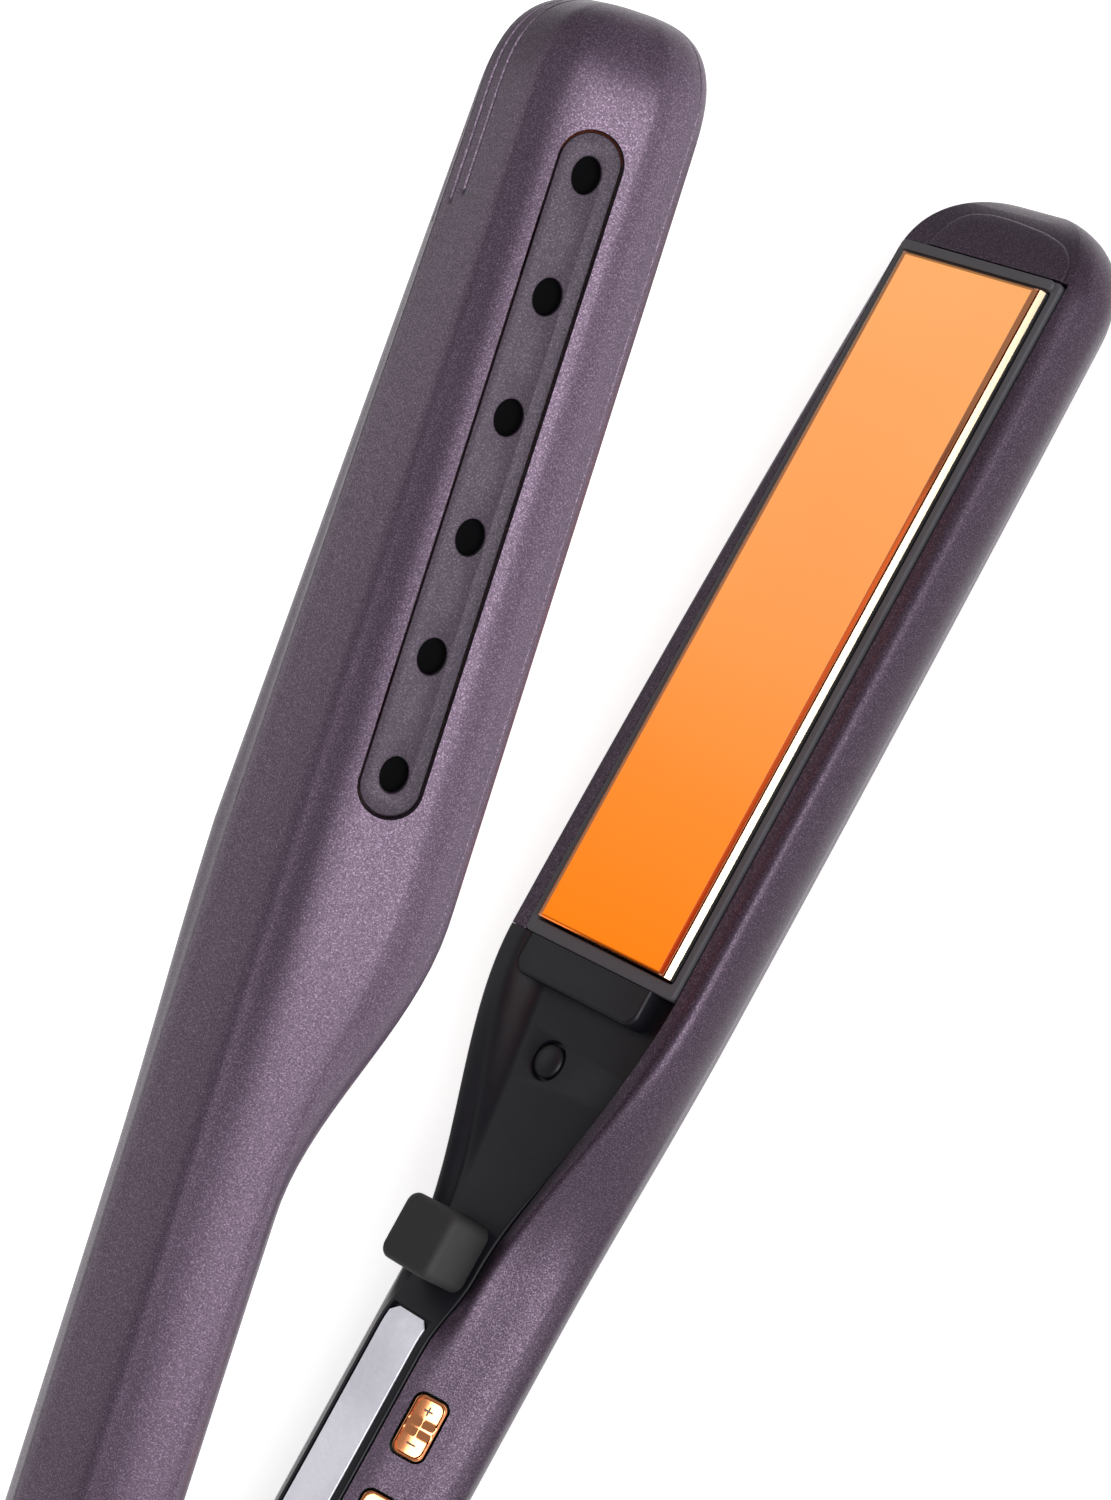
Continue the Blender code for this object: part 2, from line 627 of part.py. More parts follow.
def lower_only():
    """Pieces that only the lower arm carries."""
    y0, y1 = BLOCK_Y
    mid = (y0 + y1) / 2
    half = (y1 - y0) / 2
    base = strip_depth(y0, "lower") - GAP
    foot = rounded_rect(half, BLOCK_HALF, 1.5, 4)
    face = rounded_rect(half - 0.5, BLOCK_HALF - 0.5, 1.2, 4)
    stack("stop_block", "lower", [(foot, -base), (foot, -BLOCK_TOP - 0.45), (face, -BLOCK_TOP)],
          "black_rubber", (BLOCK_X, mid, 0.0))
    rings = []
    for y in (LABEL_Y[0], -80.0, -65.0, LABEL_Y[1]):
        d = strip_depth(y, "lower")
        a, b = LABEL_X
        rings.append([place(p, "lower") for p in ((b, y, d), (b, y, d + 0.25),
                                                  (a, y, d + 0.25), (a, y, d))])
    loft("rating_label", rings, "silver_label")
    button("temp_rocker", BUTTON_Y[0], True, "rose_chrome")
    button("power_button", BUTTON_Y[1], False, "rose_chrome")
    centre_d = BUTTON_AT[1]
    for tag, y in (("temp", BUTTON_Y[0]), ("power", BUTTON_Y[1])):
        body = rounded_rect(1.9, 1.9, 0.3, 1)
        stack(tag + "_switch", "lower", [(body, -4.9), (body, -2.9)], "component_black",
              (BUTTON_AT[0], y, centre_d), FLANK_TILT)
    board = rounded_rect(16.0, 2.4, 0.4, 1)
    stack("button_board", "lower", [(board, -6.2), (board, -5.2)], "board_green",
          (BUTTON_AT[0], sum(BUTTON_Y) / 2, centre_d), FLANK_TILT)
    box("main_board", "lower", (-7.5, 7.5), (-118.0, -56.0), (14.6, 16.0), "board_green")
    box("triac", "lower", (-6.0, -1.0), (-115.0, -107.0), (11.0, 14.3), "component_black")
    box("relay", "lower", (-5.5, 1.5), (-104.0, -94.0), (7.4, 14.3), "component_black")
    rod("capacitor", "lower", -78.0, 11.3, [(-6.5, 2.9), (0.6, 2.9)], 14, "steel")
    pin_out = LUG_OUT - 0.4
    rod("hinge_pin", "lower", HINGE_Y, 0.0, [(-pin_out, PIN_R), (pin_out, PIN_R)], 16, "steel")
    for tag, side in (("near", 1), ("far", -1)):
        a = side * (LUG_OUT + GAP)
        b = side * (LUG_OUT + 1.2)
        c = side * (LUG_OUT + 1.7)
        rod("hinge_cap_" + tag, "lower", HINGE_Y, 0.0, [(a, 7.4), (b, 7.4), (c, 6.6)], 24,
            "rose_chrome")
    torsion_spring()
    tube = [(REAR_END - GAP, 5.4), (REAR_END - 4.0, 5.0)]
    collar = barrel("gland_collar", 0.0, GLAND_DEPTH, tube, 20, "black_plastic")
    boolean(collar, barrel("tool", 0.0, GLAND_DEPTH, [(REAR_END + 2, GLAND_R + GAP),
                                                      (REAR_END - 9, GLAND_R + GAP)], 20))
    swivel = barrel("cord_swivel", 0.0, GLAND_DEPTH,
                    [(REAR_END + 5.0, 3.2), (REAR_END + 4.6, 5.2), (REAR_END + 2.4, 5.2),
                     (REAR_END + 2.3, GLAND_R), (REAR_END - 4.3, GLAND_R),
                     (REAR_END - 4.35, 4.8), (REAR_END - 10.0, 4.6), (REAR_END - 12.0, 3.8)],
                    20, "black_plastic", place((0.0, REAR_END, GLAND_DEPTH), "lower"))
    boolean(swivel, barrel("tool", 0.0, GLAND_DEPTH, [(REAR_END + 9, 2.2), (REAR_END - 20, 2.2)],
                           14))
    box("thermistor", "lower", (9.0, 11.5), (46.0, 52.0), (2.7, 4.2), "inspection_brass",
        plate_centre("lower"))


def upper_only():
    """Strike pad that meets the stop block, and the thermal fuse."""
    y0, y1 = BLOCK_Y
    base = strip_depth((y0 + y1) / 2, "upper") - GAP
    rings = []
    for y, d in ((y0, PAD_REAR), (y1, PAD_FRONT)):
        w = BLOCK_HALF - 0.4
        a, b = BLOCK_X - w, BLOCK_X + w
        rings.append([place(p, "upper") for p in ((b, y, d), (b, y, base), (a, y, base),
                                                  (a, y, d))])
    loft("strike_pad", rings, "black_rubber", HINGE)
    rod("thermal_fuse", "upper", 48.0, 4.0, [(8.6, 1.0), (11.6, 1.0)], 10, "steel",
        plate_centre("upper"))


for old in list(bpy.data.objects):
    bpy.data.objects.remove(old, do_unlink=True)
for arm_name in ("lower", "upper"):
    arm_parts(arm_name)
lower_only()
upper_only()
for obj in bpy.data.objects:
    if obj.name.startswith("upper_") or obj.name in ("strike_pad", "thermal_fuse"):
        open_arm(obj)
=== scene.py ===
"""Looks of the flat iron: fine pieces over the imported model, materials, light and camera."""
import json
import math

import bmesh
import bpy
from mathutils import Matrix, Vector

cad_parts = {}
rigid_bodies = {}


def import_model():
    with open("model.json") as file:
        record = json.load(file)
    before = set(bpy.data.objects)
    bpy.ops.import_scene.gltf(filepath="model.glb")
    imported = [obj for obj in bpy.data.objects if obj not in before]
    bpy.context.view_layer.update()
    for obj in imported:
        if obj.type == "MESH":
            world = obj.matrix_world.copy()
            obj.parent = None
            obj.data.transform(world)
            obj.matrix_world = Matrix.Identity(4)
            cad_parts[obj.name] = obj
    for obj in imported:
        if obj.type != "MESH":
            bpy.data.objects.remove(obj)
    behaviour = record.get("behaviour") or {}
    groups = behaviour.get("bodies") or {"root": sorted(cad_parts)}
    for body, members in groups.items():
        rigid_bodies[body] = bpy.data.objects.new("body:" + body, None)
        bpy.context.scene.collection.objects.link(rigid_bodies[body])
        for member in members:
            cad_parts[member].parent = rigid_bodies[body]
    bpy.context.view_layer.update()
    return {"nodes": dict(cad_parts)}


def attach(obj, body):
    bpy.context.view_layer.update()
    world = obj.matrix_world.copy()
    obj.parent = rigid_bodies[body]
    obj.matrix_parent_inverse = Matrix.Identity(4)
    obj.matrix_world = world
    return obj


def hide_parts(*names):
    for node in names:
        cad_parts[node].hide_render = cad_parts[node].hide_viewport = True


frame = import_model()

MM = 0.001
GAP = 0.3
PLANE_Z = 20.5            # height of the plane in which the plates meet
HINGE_Y = -144.5
OPEN_ANGLE = 15.5
REAR_END = -130.0
WALL = 1.6
COVER_T = 1.6
PLATE_W = 25.0
PLATE_L = {"lower": 97.5, "upper": 90.5}
PLATE_FACE = 0.15
FRAME_TOP = 1.45
FRAME_HALF = 13.9
FRAME_Y0 = -2.1
FRAME_END = 1.8
TIP_START = {"lower": 97.5, "upper": 88.5}
TIP_END = {"lower": 109.9, "upper": 102.4}
TIP_CENTRE = {"lower": 9.0, "upper": 6.5}
TIP_POWER = {"lower": 2.2, "upper": 2.9}
TIP_SHIFT = {"lower": 0.0, "upper": 3.2}       # the end point lies towards the near side
SPINE_HALF = 4.2
KNUCKLE_R = 9.0
KNUCKLE_HALF = 7.0
LUG_OUT = 13.6
PIN_R = 2.5
VENT_L = 79.5
VENT_W = 6.9
VENT_Y = 48.0
VENT_PITCH = 14.0
VENT_COUNT = 6
VENT_HOLE = (4.3, 3.2)
VENT_SIDE = {"lower": -1, "upper": 1}
VENT_TILT = 127.5
VENT_AT = (13.05, 15.1)
SCREW_Y = -15.5
SCREW_R = 2.65
SCREW_X = {"lower": -2.6, "upper": 0.0}
BLOCK_Y = (-46.4, -37.4)
BLOCK_HALF = 4.7
BLOCK_X = -0.6
BLOCK_TOP = -2.9
BUTTON = (8.0, 4.3)
BUTTON_AT = (7.65, 5.6)
BUTTON_Y = (-62.5, -75.8)
FLANK_TILT = 44.2
LEDGE_MIDDLE = {"lower": -1.6, "upper": 0.0}
LABEL_Y = (-93.0, -51.0)
LABEL_X = (-4.0, 2.75)
GLAND_DEPTH = 13.4
GLAND_R = 4.0
SLIM_SPINE = {1: 19.9, -1: 18.0}


# ---------------------------------------------------------------- shape of an arm

def smooth(a, b, t):
    """0 below a, 1 above b, smooth between."""
    t = min(1.0, max(0.0, (t - a) / (b - a)))
    return t * t * (3.0 - 2.0 * t)


def strip_depth(y, arm):
    extra = 1.2 if arm == "upper" else 0.0
    d = 2.0 + 0.8 * smooth(-115.0, -70.0, y) + 2.2 * smooth(-54.0, -43.5, y)
    return d + extra * (1.0 - smooth(-54.0, -43.5, y))


def half_opening(y):
    return 4.5 + 9.7 * smooth(-43.0, -2.0, y)


def rim_depth(y, arm):
    return strip_depth(y, arm) - 3.1 * smooth(-36.0, -3.0, y)


HANDLE = {
    "lower": [(6.4, 4.25), (8.0, 5.85), (9.7, 7.55), (11.2, 9.1), (12.6, 11.0), (13.1, 13.3),
              (10.3, 17.3), (7.0, 19.6)],
    "upper": [(6.4, 5.5), (8.0, 7.1), (9.7, 8.7), (11.2, 10.2), (12.6, 11.9), (13.2, 13.9),
              (10.4, 17.4), (7.0, 19.6)],
}
FULL = [(15.7, 2.45), (16.6, 3.3), (17.3, 5.2), (17.5, 7.6), (16.6, 10.4), (15.2, 12.5),
        (10.9, 17.9), (7.0, 19.7)]
FULL_TIP = [(14.9, 2.5), (15.8, 3.3), (16.6, 5.2), (16.9, 7.6), (16.4, 10.4), (15.2, 12.4),
            (10.9, 17.9), (7.0, 19.7)]
FAR = [(15.6, 2.45), (16.4, 3.4), (16.7, 5.4), (16.6, 7.6), (16.2, 10.4), (15.2, 12.3),
       (10.9, 17.9), (7.0, 19.7)]
WIDE = [(16.4, 2.0), (17.1, 2.5), (17.4, 4.6), (17.3, 7.4), (16.5, 10.4), (15.2, 12.3),
        (10.9, 17.9), (7.0, 19.7)]
WIDE_TIP = [(15.0, 2.5), (15.9, 3.6), (16.3, 5.6), (16.4, 8.0), (16.1, 10.4), (15.2, 12.3),
            (10.9, 17.9), (7.0, 19.7)]
LOW = [(16.4, 2.1), (17.45, 3.0), (17.9, 4.9), (17.7, 7.6), (16.6, 10.5), (15.1, 12.5),
       (10.9, 17.9), (7.0, 19.7)]
LOW_TIP = [(15.3, 2.5), (16.4, 3.8), (17.0, 5.9), (16.9, 8.2), (15.9, 10.5), (14.7, 12.1),
           (10.4, 17.4), (6.8, 19.6)]
SLIM_TIP = [(15.0, 2.5), (15.4, 3.4), (15.5, 5.0), (15.2, 6.8), (14.6, 8.6), (13.5, 10.5),
            (8.6, 14.8), (5.9, 17.0)]
BARREL = {
    ("lower", 1): (LOW, LOW_TIP),
    ("lower", -1): (WIDE, WIDE_TIP),
    ("upper", 1): (FULL, FULL_TIP),
    ("upper", -1): (FAR, SLIM_TIP),
}
HOLLOW_HANDLE = {
    "lower": [(6.9, 7.2), (9.5, 9.8), (10.9, 12.0), (11.2, 13.4), (9.1, 16.0), (6.2, 18.1)],
    "upper": [(6.9, 8.2), (9.5, 10.8), (11.0, 12.8), (11.3, 13.9), (9.1, 16.0), (6.2, 18.1)],
}
HOLLOW = [(14.4, 5.2), (14.8, 7.4), (14.4, 9.6), (13.5, 11.2), (9.6, 16.3), (6.2, 18.0)]
HOLLOW_SLIM = [(14.3, 4.2), (13.6, 5.8), (12.9, 7.8), (11.8, 9.3), (7.2, 13.2), (4.6, 15.2)]
NECK = {"lower": (-46.0, -2.0), "upper": (-42.0, -2.0)}


def mix(a, b, k):
    return [(p[0] + k * (q[0] - p[0]), p[1] + k * (q[1] - p[1])) for p, q in zip(a, b)]


def spine_depth(y, arm, side):
    if arm == "lower":
        return PLANE_Z
    return PLANE_Z + (SLIM_SPINE[side] - PLANE_Z) * smooth(-10.0, 110.0, y)


def outer_half(y, arm, side):
    rear, tip = BARREL[arm, side]
    k = min(1.0, max(0.0, y / 97.0))
    barrel_points = mix(rear, tip, k * k if arm == "lower" else k)
    points = [(half_opening(y) + 0.2, rim_depth(y, arm))]
    points += mix(HANDLE[arm], barrel_points, smooth(*NECK[arm], y))
    points.append((SPINE_HALF, spine_depth(y, arm, side)))
    return points


def inner_half(y, arm, side):
    barrel_points = HOLLOW
    if (arm, side) == ("upper", -1):
        barrel_points = mix(HOLLOW, HOLLOW_SLIM, min(1.0, max(0.0, y / 97.0)))
    w = half_opening(y)
    r = rim_depth(y, arm)
    points = [(w + 0.45, -3.0), (w + 0.45, r - 0.25), (w, r + 0.2), (w, r + 1.9)]
    points += mix(HOLLOW_HANDLE[arm], barrel_points, smooth(*NECK[arm], y))
    points.append((3.8, spine_depth(y, arm, side) - WALL))
    return points


def tip_scale(y, arm):
    if y <= TIP_START[arm]:
        return 1.0
    s = min(1.0, (y - TIP_START[arm]) / (TIP_END[arm] - TIP_START[arm]))
    power = TIP_POWER[arm]
    return max(0.0, 1.0 - s ** power) ** (1.0 / power)


def spline(points, steps, after=None):
    """Open Catmull-Rom curve through 2D points; after is a point the curve heads for."""
    out = []
    ends = points + [after or points[-1]]
    for i in range(len(points) - 1):
        p0 = points[max(i - 1, 0)]
        p1 = points[i]
        p2 = points[i + 1]
        p3 = ends[i + 2]
        n = steps
        for j in range(n):
            t = j / n
            out.append(tuple(
                0.5 * (2 * p1[k] + (p2[k] - p0[k]) * t
                       + (2 * p0[k] - 5 * p1[k] + 4 * p2[k] - p3[k]) * t * t
                       + (3 * p1[k] - p0[k] - 3 * p2[k] + p3[k]) * t ** 3)
                for k in (0, 1)))
    out.append(points[-1])
    return out


def both_sides(near, far=None):
    return list(near) + [(-x, d) for x, d in reversed(far or near)]


# ---------------------------------------------------------------- mesh helpers

HINGE = Vector((0.0, HINGE_Y, PLANE_Z))
TURN = Matrix.Translation(HINGE) @ Matrix.Rotation(math.radians(OPEN_ANGLE), 4, "X") \
    @ Matrix.Translation(-HINGE)


def place(point, arm):
    """Arm coordinates to the shared frame, in millimetres, both arms closed."""
    x, y, d = point
    return Vector((x, y, PLANE_Z - d if arm == "lower" else PLANE_Z + d))


def link(name, mesh):
    obj = bpy.data.objects.new(name, mesh)
    bpy.context.scene.collection.objects.link(obj)
    return obj


def mesh_object(name, verts, faces):
    mesh = bpy.data.meshes.new(name)
    mesh.from_pydata([tuple(v) for v in verts], [], faces)
    mesh.validate()
    bm = bmesh.new()
    bm.from_mesh(mesh)
    bmesh.ops.recalc_face_normals(bm, faces=bm.faces)
    bm.to_mesh(mesh)
    bm.free()
    return link(name, mesh)


def loft(name, rings):
    """Closed skin over rings of equal length, capped at both ends."""
    n = len(rings[0])
    verts = [p for ring in rings for p in ring]
    faces = []
    for i in range(len(rings) - 1):
        a = i * n
        for j in range(n):
            k = (j + 1) % n
            faces.append((a + j, a + k, a + n + k, a + n + j))
    faces.append(tuple(range(n)))
    faces.append(tuple(range((len(rings) - 1) * n, len(rings) * n)))
    return mesh_object(name, verts, faces)


def clean(mesh, distance=0.002):
    """Merge near-coincident points and drop slivers."""
    bm = bmesh.new()
    bm.from_mesh(mesh)
    bmesh.ops.remove_doubles(bm, verts=bm.verts, dist=distance)
    bmesh.ops.dissolve_degenerate(bm, edges=bm.edges, dist=distance)
    bm.to_mesh(mesh)
    bm.free()


def joined(tools):
    """Several closed tools as one mesh."""
    verts = []
    faces = []
    for tool in tools:
        start = len(verts)
        verts += [v.co.copy() for v in tool.data.vertices]
        faces += [tuple(start + i for i in f.vertices) for f in tool.data.polygons]
        gone = tool.data
        bpy.data.objects.remove(tool, do_unlink=True)
        bpy.data.meshes.remove(gone)
    mesh = bpy.data.meshes.new("tool")
    mesh.from_pydata([tuple(v) for v in verts], [], faces)
    return link("tool", mesh)


def measure(mesh):
    """Volume and number of open edges."""
    bm = bmesh.new()
    bm.from_mesh(mesh)
    out = bm.calc_volume(), sum(1 for e in bm.edges if len(e.link_faces) != 2)
    bm.free()
    return out


def boolean(obj, tool, operation="DIFFERENCE"):
    """Exact cut or join. A result that lost material is redone with the tool a hair aside."""
    clean(obj.data)
    before = measure(obj.data)[0]
    size = measure(tool.data)[0]
    low, high = (before - size, before) if operation == "DIFFERENCE" else (before, before + size)
    slack = 0.002 * before + 0.1
    mod = obj.modifiers.new("bool", "BOOLEAN")
    mod.operation = operation
    mod.solver = "EXACT"
    mod.object = tool
    best = None
    for attempt in range(6):
        tool.location = Vector((0.0013, 0.0007, 0.0011)) * attempt
        bpy.context.view_layer.update()
        graph = bpy.context.evaluated_depsgraph_get()
        mesh = bpy.data.meshes.new_from_object(obj.evaluated_get(graph))
        clean(mesh)
        after, gaps = measure(mesh)
        fault = gaps if low - slack <= after <= high + slack else 10000
        if best is None or fault < best[0]:
            best = (fault, mesh)
        if fault == 0:
            break
    obj.modifiers.remove(mod)
    obj.data = best[1]
    gone = tool.data
    bpy.data.objects.remove(tool, do_unlink=True)
    bpy.data.meshes.remove(gone)
    if best[0]:
        print("boolean", obj.name, operation, "fault", best[0])
    return obj


def finish_piece(obj, arm, body, mat, nodes=(), angle=34.0):
    """Swing an upper piece open, turn it to metres, shade it and tie it to its body."""
    clean(obj.data)
    if arm == "upper":
        obj.data.transform(TURN)
    obj.data.transform(Matrix.Scale(MM, 4))
    obj.data.materials.clear()
    obj.data.materials.append(mat)
    obj.data.shade_smooth()
    obj.data.set_sharp_from_angle(angle=math.radians(angle))
    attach(obj, body)
    if nodes:
        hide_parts(*nodes)
    return obj


def rounded_rect(half_u, half_v, r, steps):
    out = []
    for cu, cv, start in ((1, 1, 0), (-1, 1, 90), (-1, -1, 180), (1, -1, 270)):
        for i in range(steps + 1):
            a = math.radians(start + 90.0 * i / steps)
            out.append((cu * (half_u - r) + r * math.cos(a), cv * (half_v - r) + r * math.sin(a)))
    return out


def circle(r, n, ratio=1.0):
    return [(r * math.cos(2 * math.pi * i / n), r * ratio * math.sin(2 * math.pi * i / n))
            for i in range(n)]


def grow(outline, by):
    """Outline moved outwards by a distance, along its own normals."""
    n = len(outline)
    out = []
    for i in range(n):
        a = outline[i - 1]
        b = outline[(i + 1) % n]
        t = Vector((b[0] - a[0], b[1] - a[1]))
        if t.length < 1e-9:
            out.append(outline[i])
            continue
        t.normalize()
        out.append((outline[i][0] + t.y * by, outline[i][1] - t.x * by))
    return out


def stack(name, arm, layers, centre=(0.0, 0.0, 0.0), tilt=0.0):
    """Loft of (outline, height) layers: u along Y, v across, height along the normal."""
    c = math.cos(math.radians(tilt))
    s = math.sin(math.radians(tilt))
    rings = []
    for outline, h in layers:
        rings.append([place((centre[0] + v * c + h * s, centre[1] + u,
                             centre[2] + v * s - h * c), arm) for u, v in outline])
    return loft(name, rings)


def vent_stack(name, arm, layers):
    """Layers standing on an arm's vent facet."""
    a = math.radians(VENT_TILT)
    side = VENT_SIDE[arm]
    rings = []
    for outline, h in layers:
        ring = []
        for u, v in outline:
            x = VENT_AT[0] + v * math.cos(a) + h * math.sin(a)
            d = VENT_AT[1] + v * math.sin(a) - h * math.cos(a)
            ring.append(place((side * x, VENT_Y + u, d), arm))
        rings.append(ring)
    return loft(name, rings)


def rod(name, arm, y, d, spans, n):
    """Round bar along X: spans are (x, radius)."""
    return loft(name, [[place((x, y + a, d + b), arm) for a, b in circle(r, n)]
                       for x, r in spans])


def barrel(name, d, spans, n):
    """Round bar along Y of the lower arm: spans are (y, radius)."""
    return loft(name, [[place((a, y, d + b), "lower") for a, b in circle(r, n)]
                       for y, r in spans])


# ---------------------------------------------------------------- materials

class Nodes:
    """Short way to wire a material's nodes."""

    def __init__(self, name, colour, roughness, metallic=0.0):
        self.mat = bpy.data.materials.new(name)
        self.mat.use_nodes = True
        self.tree = self.mat.node_tree
        self.shader = self.tree.nodes["Principled BSDF"]
        self.set("Base Color", (*colour, 1.0))
        self.set("Roughness", roughness)
        self.set("Metallic", metallic)
        self.coord = self.add("ShaderNodeTexCoord")

    def add(self, kind, **values):
        node = self.tree.nodes.new(kind)
        for key, value in values.items():
            setattr(node, key, value)
        return node

    def set(self, socket, value):
        self.shader.inputs[socket].default_value = value

    def join(self, a, b):
        self.tree.links.new(a, b)

    def noise(self, scale, detail=2.0, rough=0.5, stretch=None):
        node = self.add("ShaderNodeTexNoise")
        node.inputs["Scale"].default_value = scale
        node.inputs["Detail"].default_value = detail
        node.inputs["Roughness"].default_value = rough
        if stretch:
            mapping = self.add("ShaderNodeMapping")
            mapping.inputs["Scale"].default_value = stretch
            self.join(self.coord.outputs["Object"], mapping.inputs["Vector"])
            self.join(mapping.outputs["Vector"], node.inputs["Vector"])
        else:
            self.join(self.coord.outputs["Object"], node.inputs["Vector"])
        return node.outputs["Fac"]

    def cells(self, scale, output="Color"):
        node = self.add("ShaderNodeTexVoronoi")
        node.inputs["Scale"].default_value = scale
        self.join(self.coord.outputs["Object"], node.inputs["Vector"])
        return node.outputs[output]

    def ramp(self, fac, stops):
        node = self.add("ShaderNodeValToRGB")
        ramp = node.color_ramp
        while len(ramp.elements) < len(stops):
            ramp.elements.new(0.5)
        for element, (at, colour) in zip(ramp.elements, stops):
            element.position = at
            element.color = (*colour, 1.0) if len(colour) == 3 else colour
        self.join(fac, node.inputs["Fac"])
        return node.outputs["Color"]

    def span(self, fac, low, high, a=0.0, b=1.0):
        node = self.add("ShaderNodeMapRange")
        node.inputs["From Min"].default_value = a
        node.inputs["From Max"].default_value = b
        node.inputs["To Min"].default_value = low
        node.inputs["To Max"].default_value = high
        self.join(fac, node.inputs["Value"])
        return node.outputs["Result"]

    def mix(self, fac, a, b, mode="MIX"):
        node = self.add("ShaderNodeMix", data_type="RGBA", blend_type=mode)
        for socket, value in ((0, fac), (6, a), (7, b)):
            if isinstance(value, (int, float)):
                node.inputs[socket].default_value = value
            elif isinstance(value, tuple):
                node.inputs[socket].default_value = (*value, 1.0)
            else:
                self.join(value, node.inputs[socket])
        return node.outputs[2]

    def bump(self, height, strength, distance):
        node = self.add("ShaderNodeBump")
        node.inputs["Strength"].default_value = strength
        node.inputs["Distance"].default_value = distance
        self.join(height, node.inputs["Height"])
        self.join(node.outputs["Normal"], self.shader.inputs["Normal"])

    def colour(self, output):
        self.join(output, self.shader.inputs["Base Color"])

    def rough(self, output):
        self.join(output, self.shader.inputs["Roughness"])


def paint(name, dark, light, flake, roughness, metallic):
    """Metallic paint: fine bright flakes in a satin lacquer."""
    m = Nodes(name, dark, roughness, metallic)
    grain = m.noise(5200.0, 3.0, 0.7)
    base = m.ramp(grain, [(0.3, dark), (0.52, light), (0.72, flake)])
    drift = m.span(m.noise(45.0, 3.0), 0.93, 1.05)
    m.colour(m.mix(1.0, base, drift, "MULTIPLY"))
    m.rough(m.span(grain, roughness + 0.08, roughness - 0.1, 0.35, 0.7))
    m.bump(grain, 0.12, 0.00006)
    m.set("Specular IOR Level", 0.3)
    return m.mat


def moulded(name, colour, roughness, grain=2600.0, depth=0.25, spread=0.25, specular=0.5):
    """Moulded plastic with a fine spark-eroded texture and faint handling marks."""
    m = Nodes(name, colour, roughness)
    m.set("Specular IOR Level", specular)
    fine = m.noise(grain, 3.0, 0.6)
    broad = m.noise(60.0, 4.0, 0.6)
    low = tuple(c * (1.0 - spread) for c in colour)
    high = tuple(min(1.0, c * (1.0 + spread)) for c in colour)
    m.colour(m.mix(m.span(broad, 0.2, 0.8, 0.3, 0.7), low, high))
    m.rough(m.span(broad, roughness - 0.06, roughness + 0.08, 0.3, 0.7))
    m.bump(fine, depth, 0.00005)
    return m.mat


def polished(name, colour, roughness, streaks=(1.0, 1.0, 1.0), wear=0.03):
    """Polished metal with very faint streaks and smears."""
    m = Nodes(name, colour, roughness, 1.0)
    fine = m.noise(900.0, 2.0, 0.5, streaks)
    broad = m.noise(35.0, 3.0)
    m.rough(m.span(broad, max(0.02, roughness - wear), roughness + wear, 0.3, 0.7))
    low = tuple(c * 0.97 for c in colour)
    m.colour(m.mix(m.span(broad, 0.0, 1.0, 0.35, 0.65), low, colour))
    m.bump(fine, 0.02, 0.00002)
    return m.mat


def gold_with_painted_reflection():
    """Mirror gold whose colour is painted deeper towards the hinge end of the plate and paler towards
    the tip: a painted reflection gradient.
    """
    m = Nodes("gold_mirror", (0.95, 0.4, 0.1), 0.1, 1.0)
    xyz = m.add("ShaderNodeSeparateXYZ")
    m.join(m.coord.outputs["Object"], xyz.inputs["Vector"])
    along = m.span(xyz.outputs["Y"], 0.0, 1.0, 0.0, 0.0975)
    # painted reflection: colour ramp along the plate's length, saturated at the hinge end, pale at the
    # tip end
    painted_reflection_tint = m.ramp(along, [(0.0, (1.0, 0.2, 0.007)), (0.2, (1.0, 0.235, 0.026)),
                          (0.5, (1.0, 0.305, 0.083)), (1.0, (0.85, 0.37, 0.129))])
    haze = m.span(m.noise(40.0, 3.0), 0.975, 1.02, 0.3, 0.7)
    m.colour(m.mix(1.0, painted_reflection_tint, haze, "MULTIPLY"))
    m.rough(m.span(m.noise(60.0, 4.0), 0.07, 0.13, 0.3, 0.7))
    m.bump(m.noise(700.0, 2.0, 0.5, (1.0, 0.05, 1.0)), 0.02, 0.00002)
    return m.mat


MAT = {
    "purple": paint("purple_paint", (0.024, 0.015, 0.026), (0.05, 0.033, 0.052),
                    (0.15, 0.104, 0.15), 0.39, 0.55),
    "vent": paint("vent_paint", (0.022, 0.015, 0.024), (0.037, 0.026, 0.039),
                  (0.1, 0.073, 0.105), 0.5, 0.3),
    "black": moulded("black_moulding", (0.0065, 0.0062, 0.0095), 0.42, specular=0.3),
    "frame": moulded("grey_frame_plastic", (0.06, 0.057, 0.066), 0.55, 1500.0, 0.7, 0.2),
    "rubber": moulded("block_rubber", (0.017, 0.016, 0.017), 0.7, 1800.0, 0.5, 0.3),
    "gold": gold_with_painted_reflection(),
    "gold_side": polished("plate_side", (0.66, 0.53, 0.36), 0.3),
    "rose": polished("rose_mirror", (0.72, 0.28, 0.12), 0.13),
    "steel": polished("plain_steel", (0.62, 0.62, 0.64), 0.3, (1.0, 1.0, 0.1)),
    "component": moulded("component_case", (0.015, 0.015, 0.016), 0.5),
    "silicone": moulded("red_silicone", (0.42, 0.09, 0.06), 0.65, 1500.0, 0.3, 0.15),
    "ceramic": moulded("heater_body", (0.72, 0.68, 0.62), 0.75, 1200.0, 0.5, 0.06),
    "mica": moulded("mica", (0.5, 0.42, 0.3), 0.4, 700.0, 0.4, 0.2),
    "board": moulded("board", (0.02, 0.13, 0.06), 0.4, 900.0, 0.2, 0.2),
    "brass": polished("brass_clip", (0.78, 0.55, 0.25), 0.25),
    # painted shade: near-black for the sheet behind the vent holes
    "painted_hole_shade": moulded("painted_hole_shade_black", (0.003, 0.003, 0.0035), 0.9, specular=0.05),
}


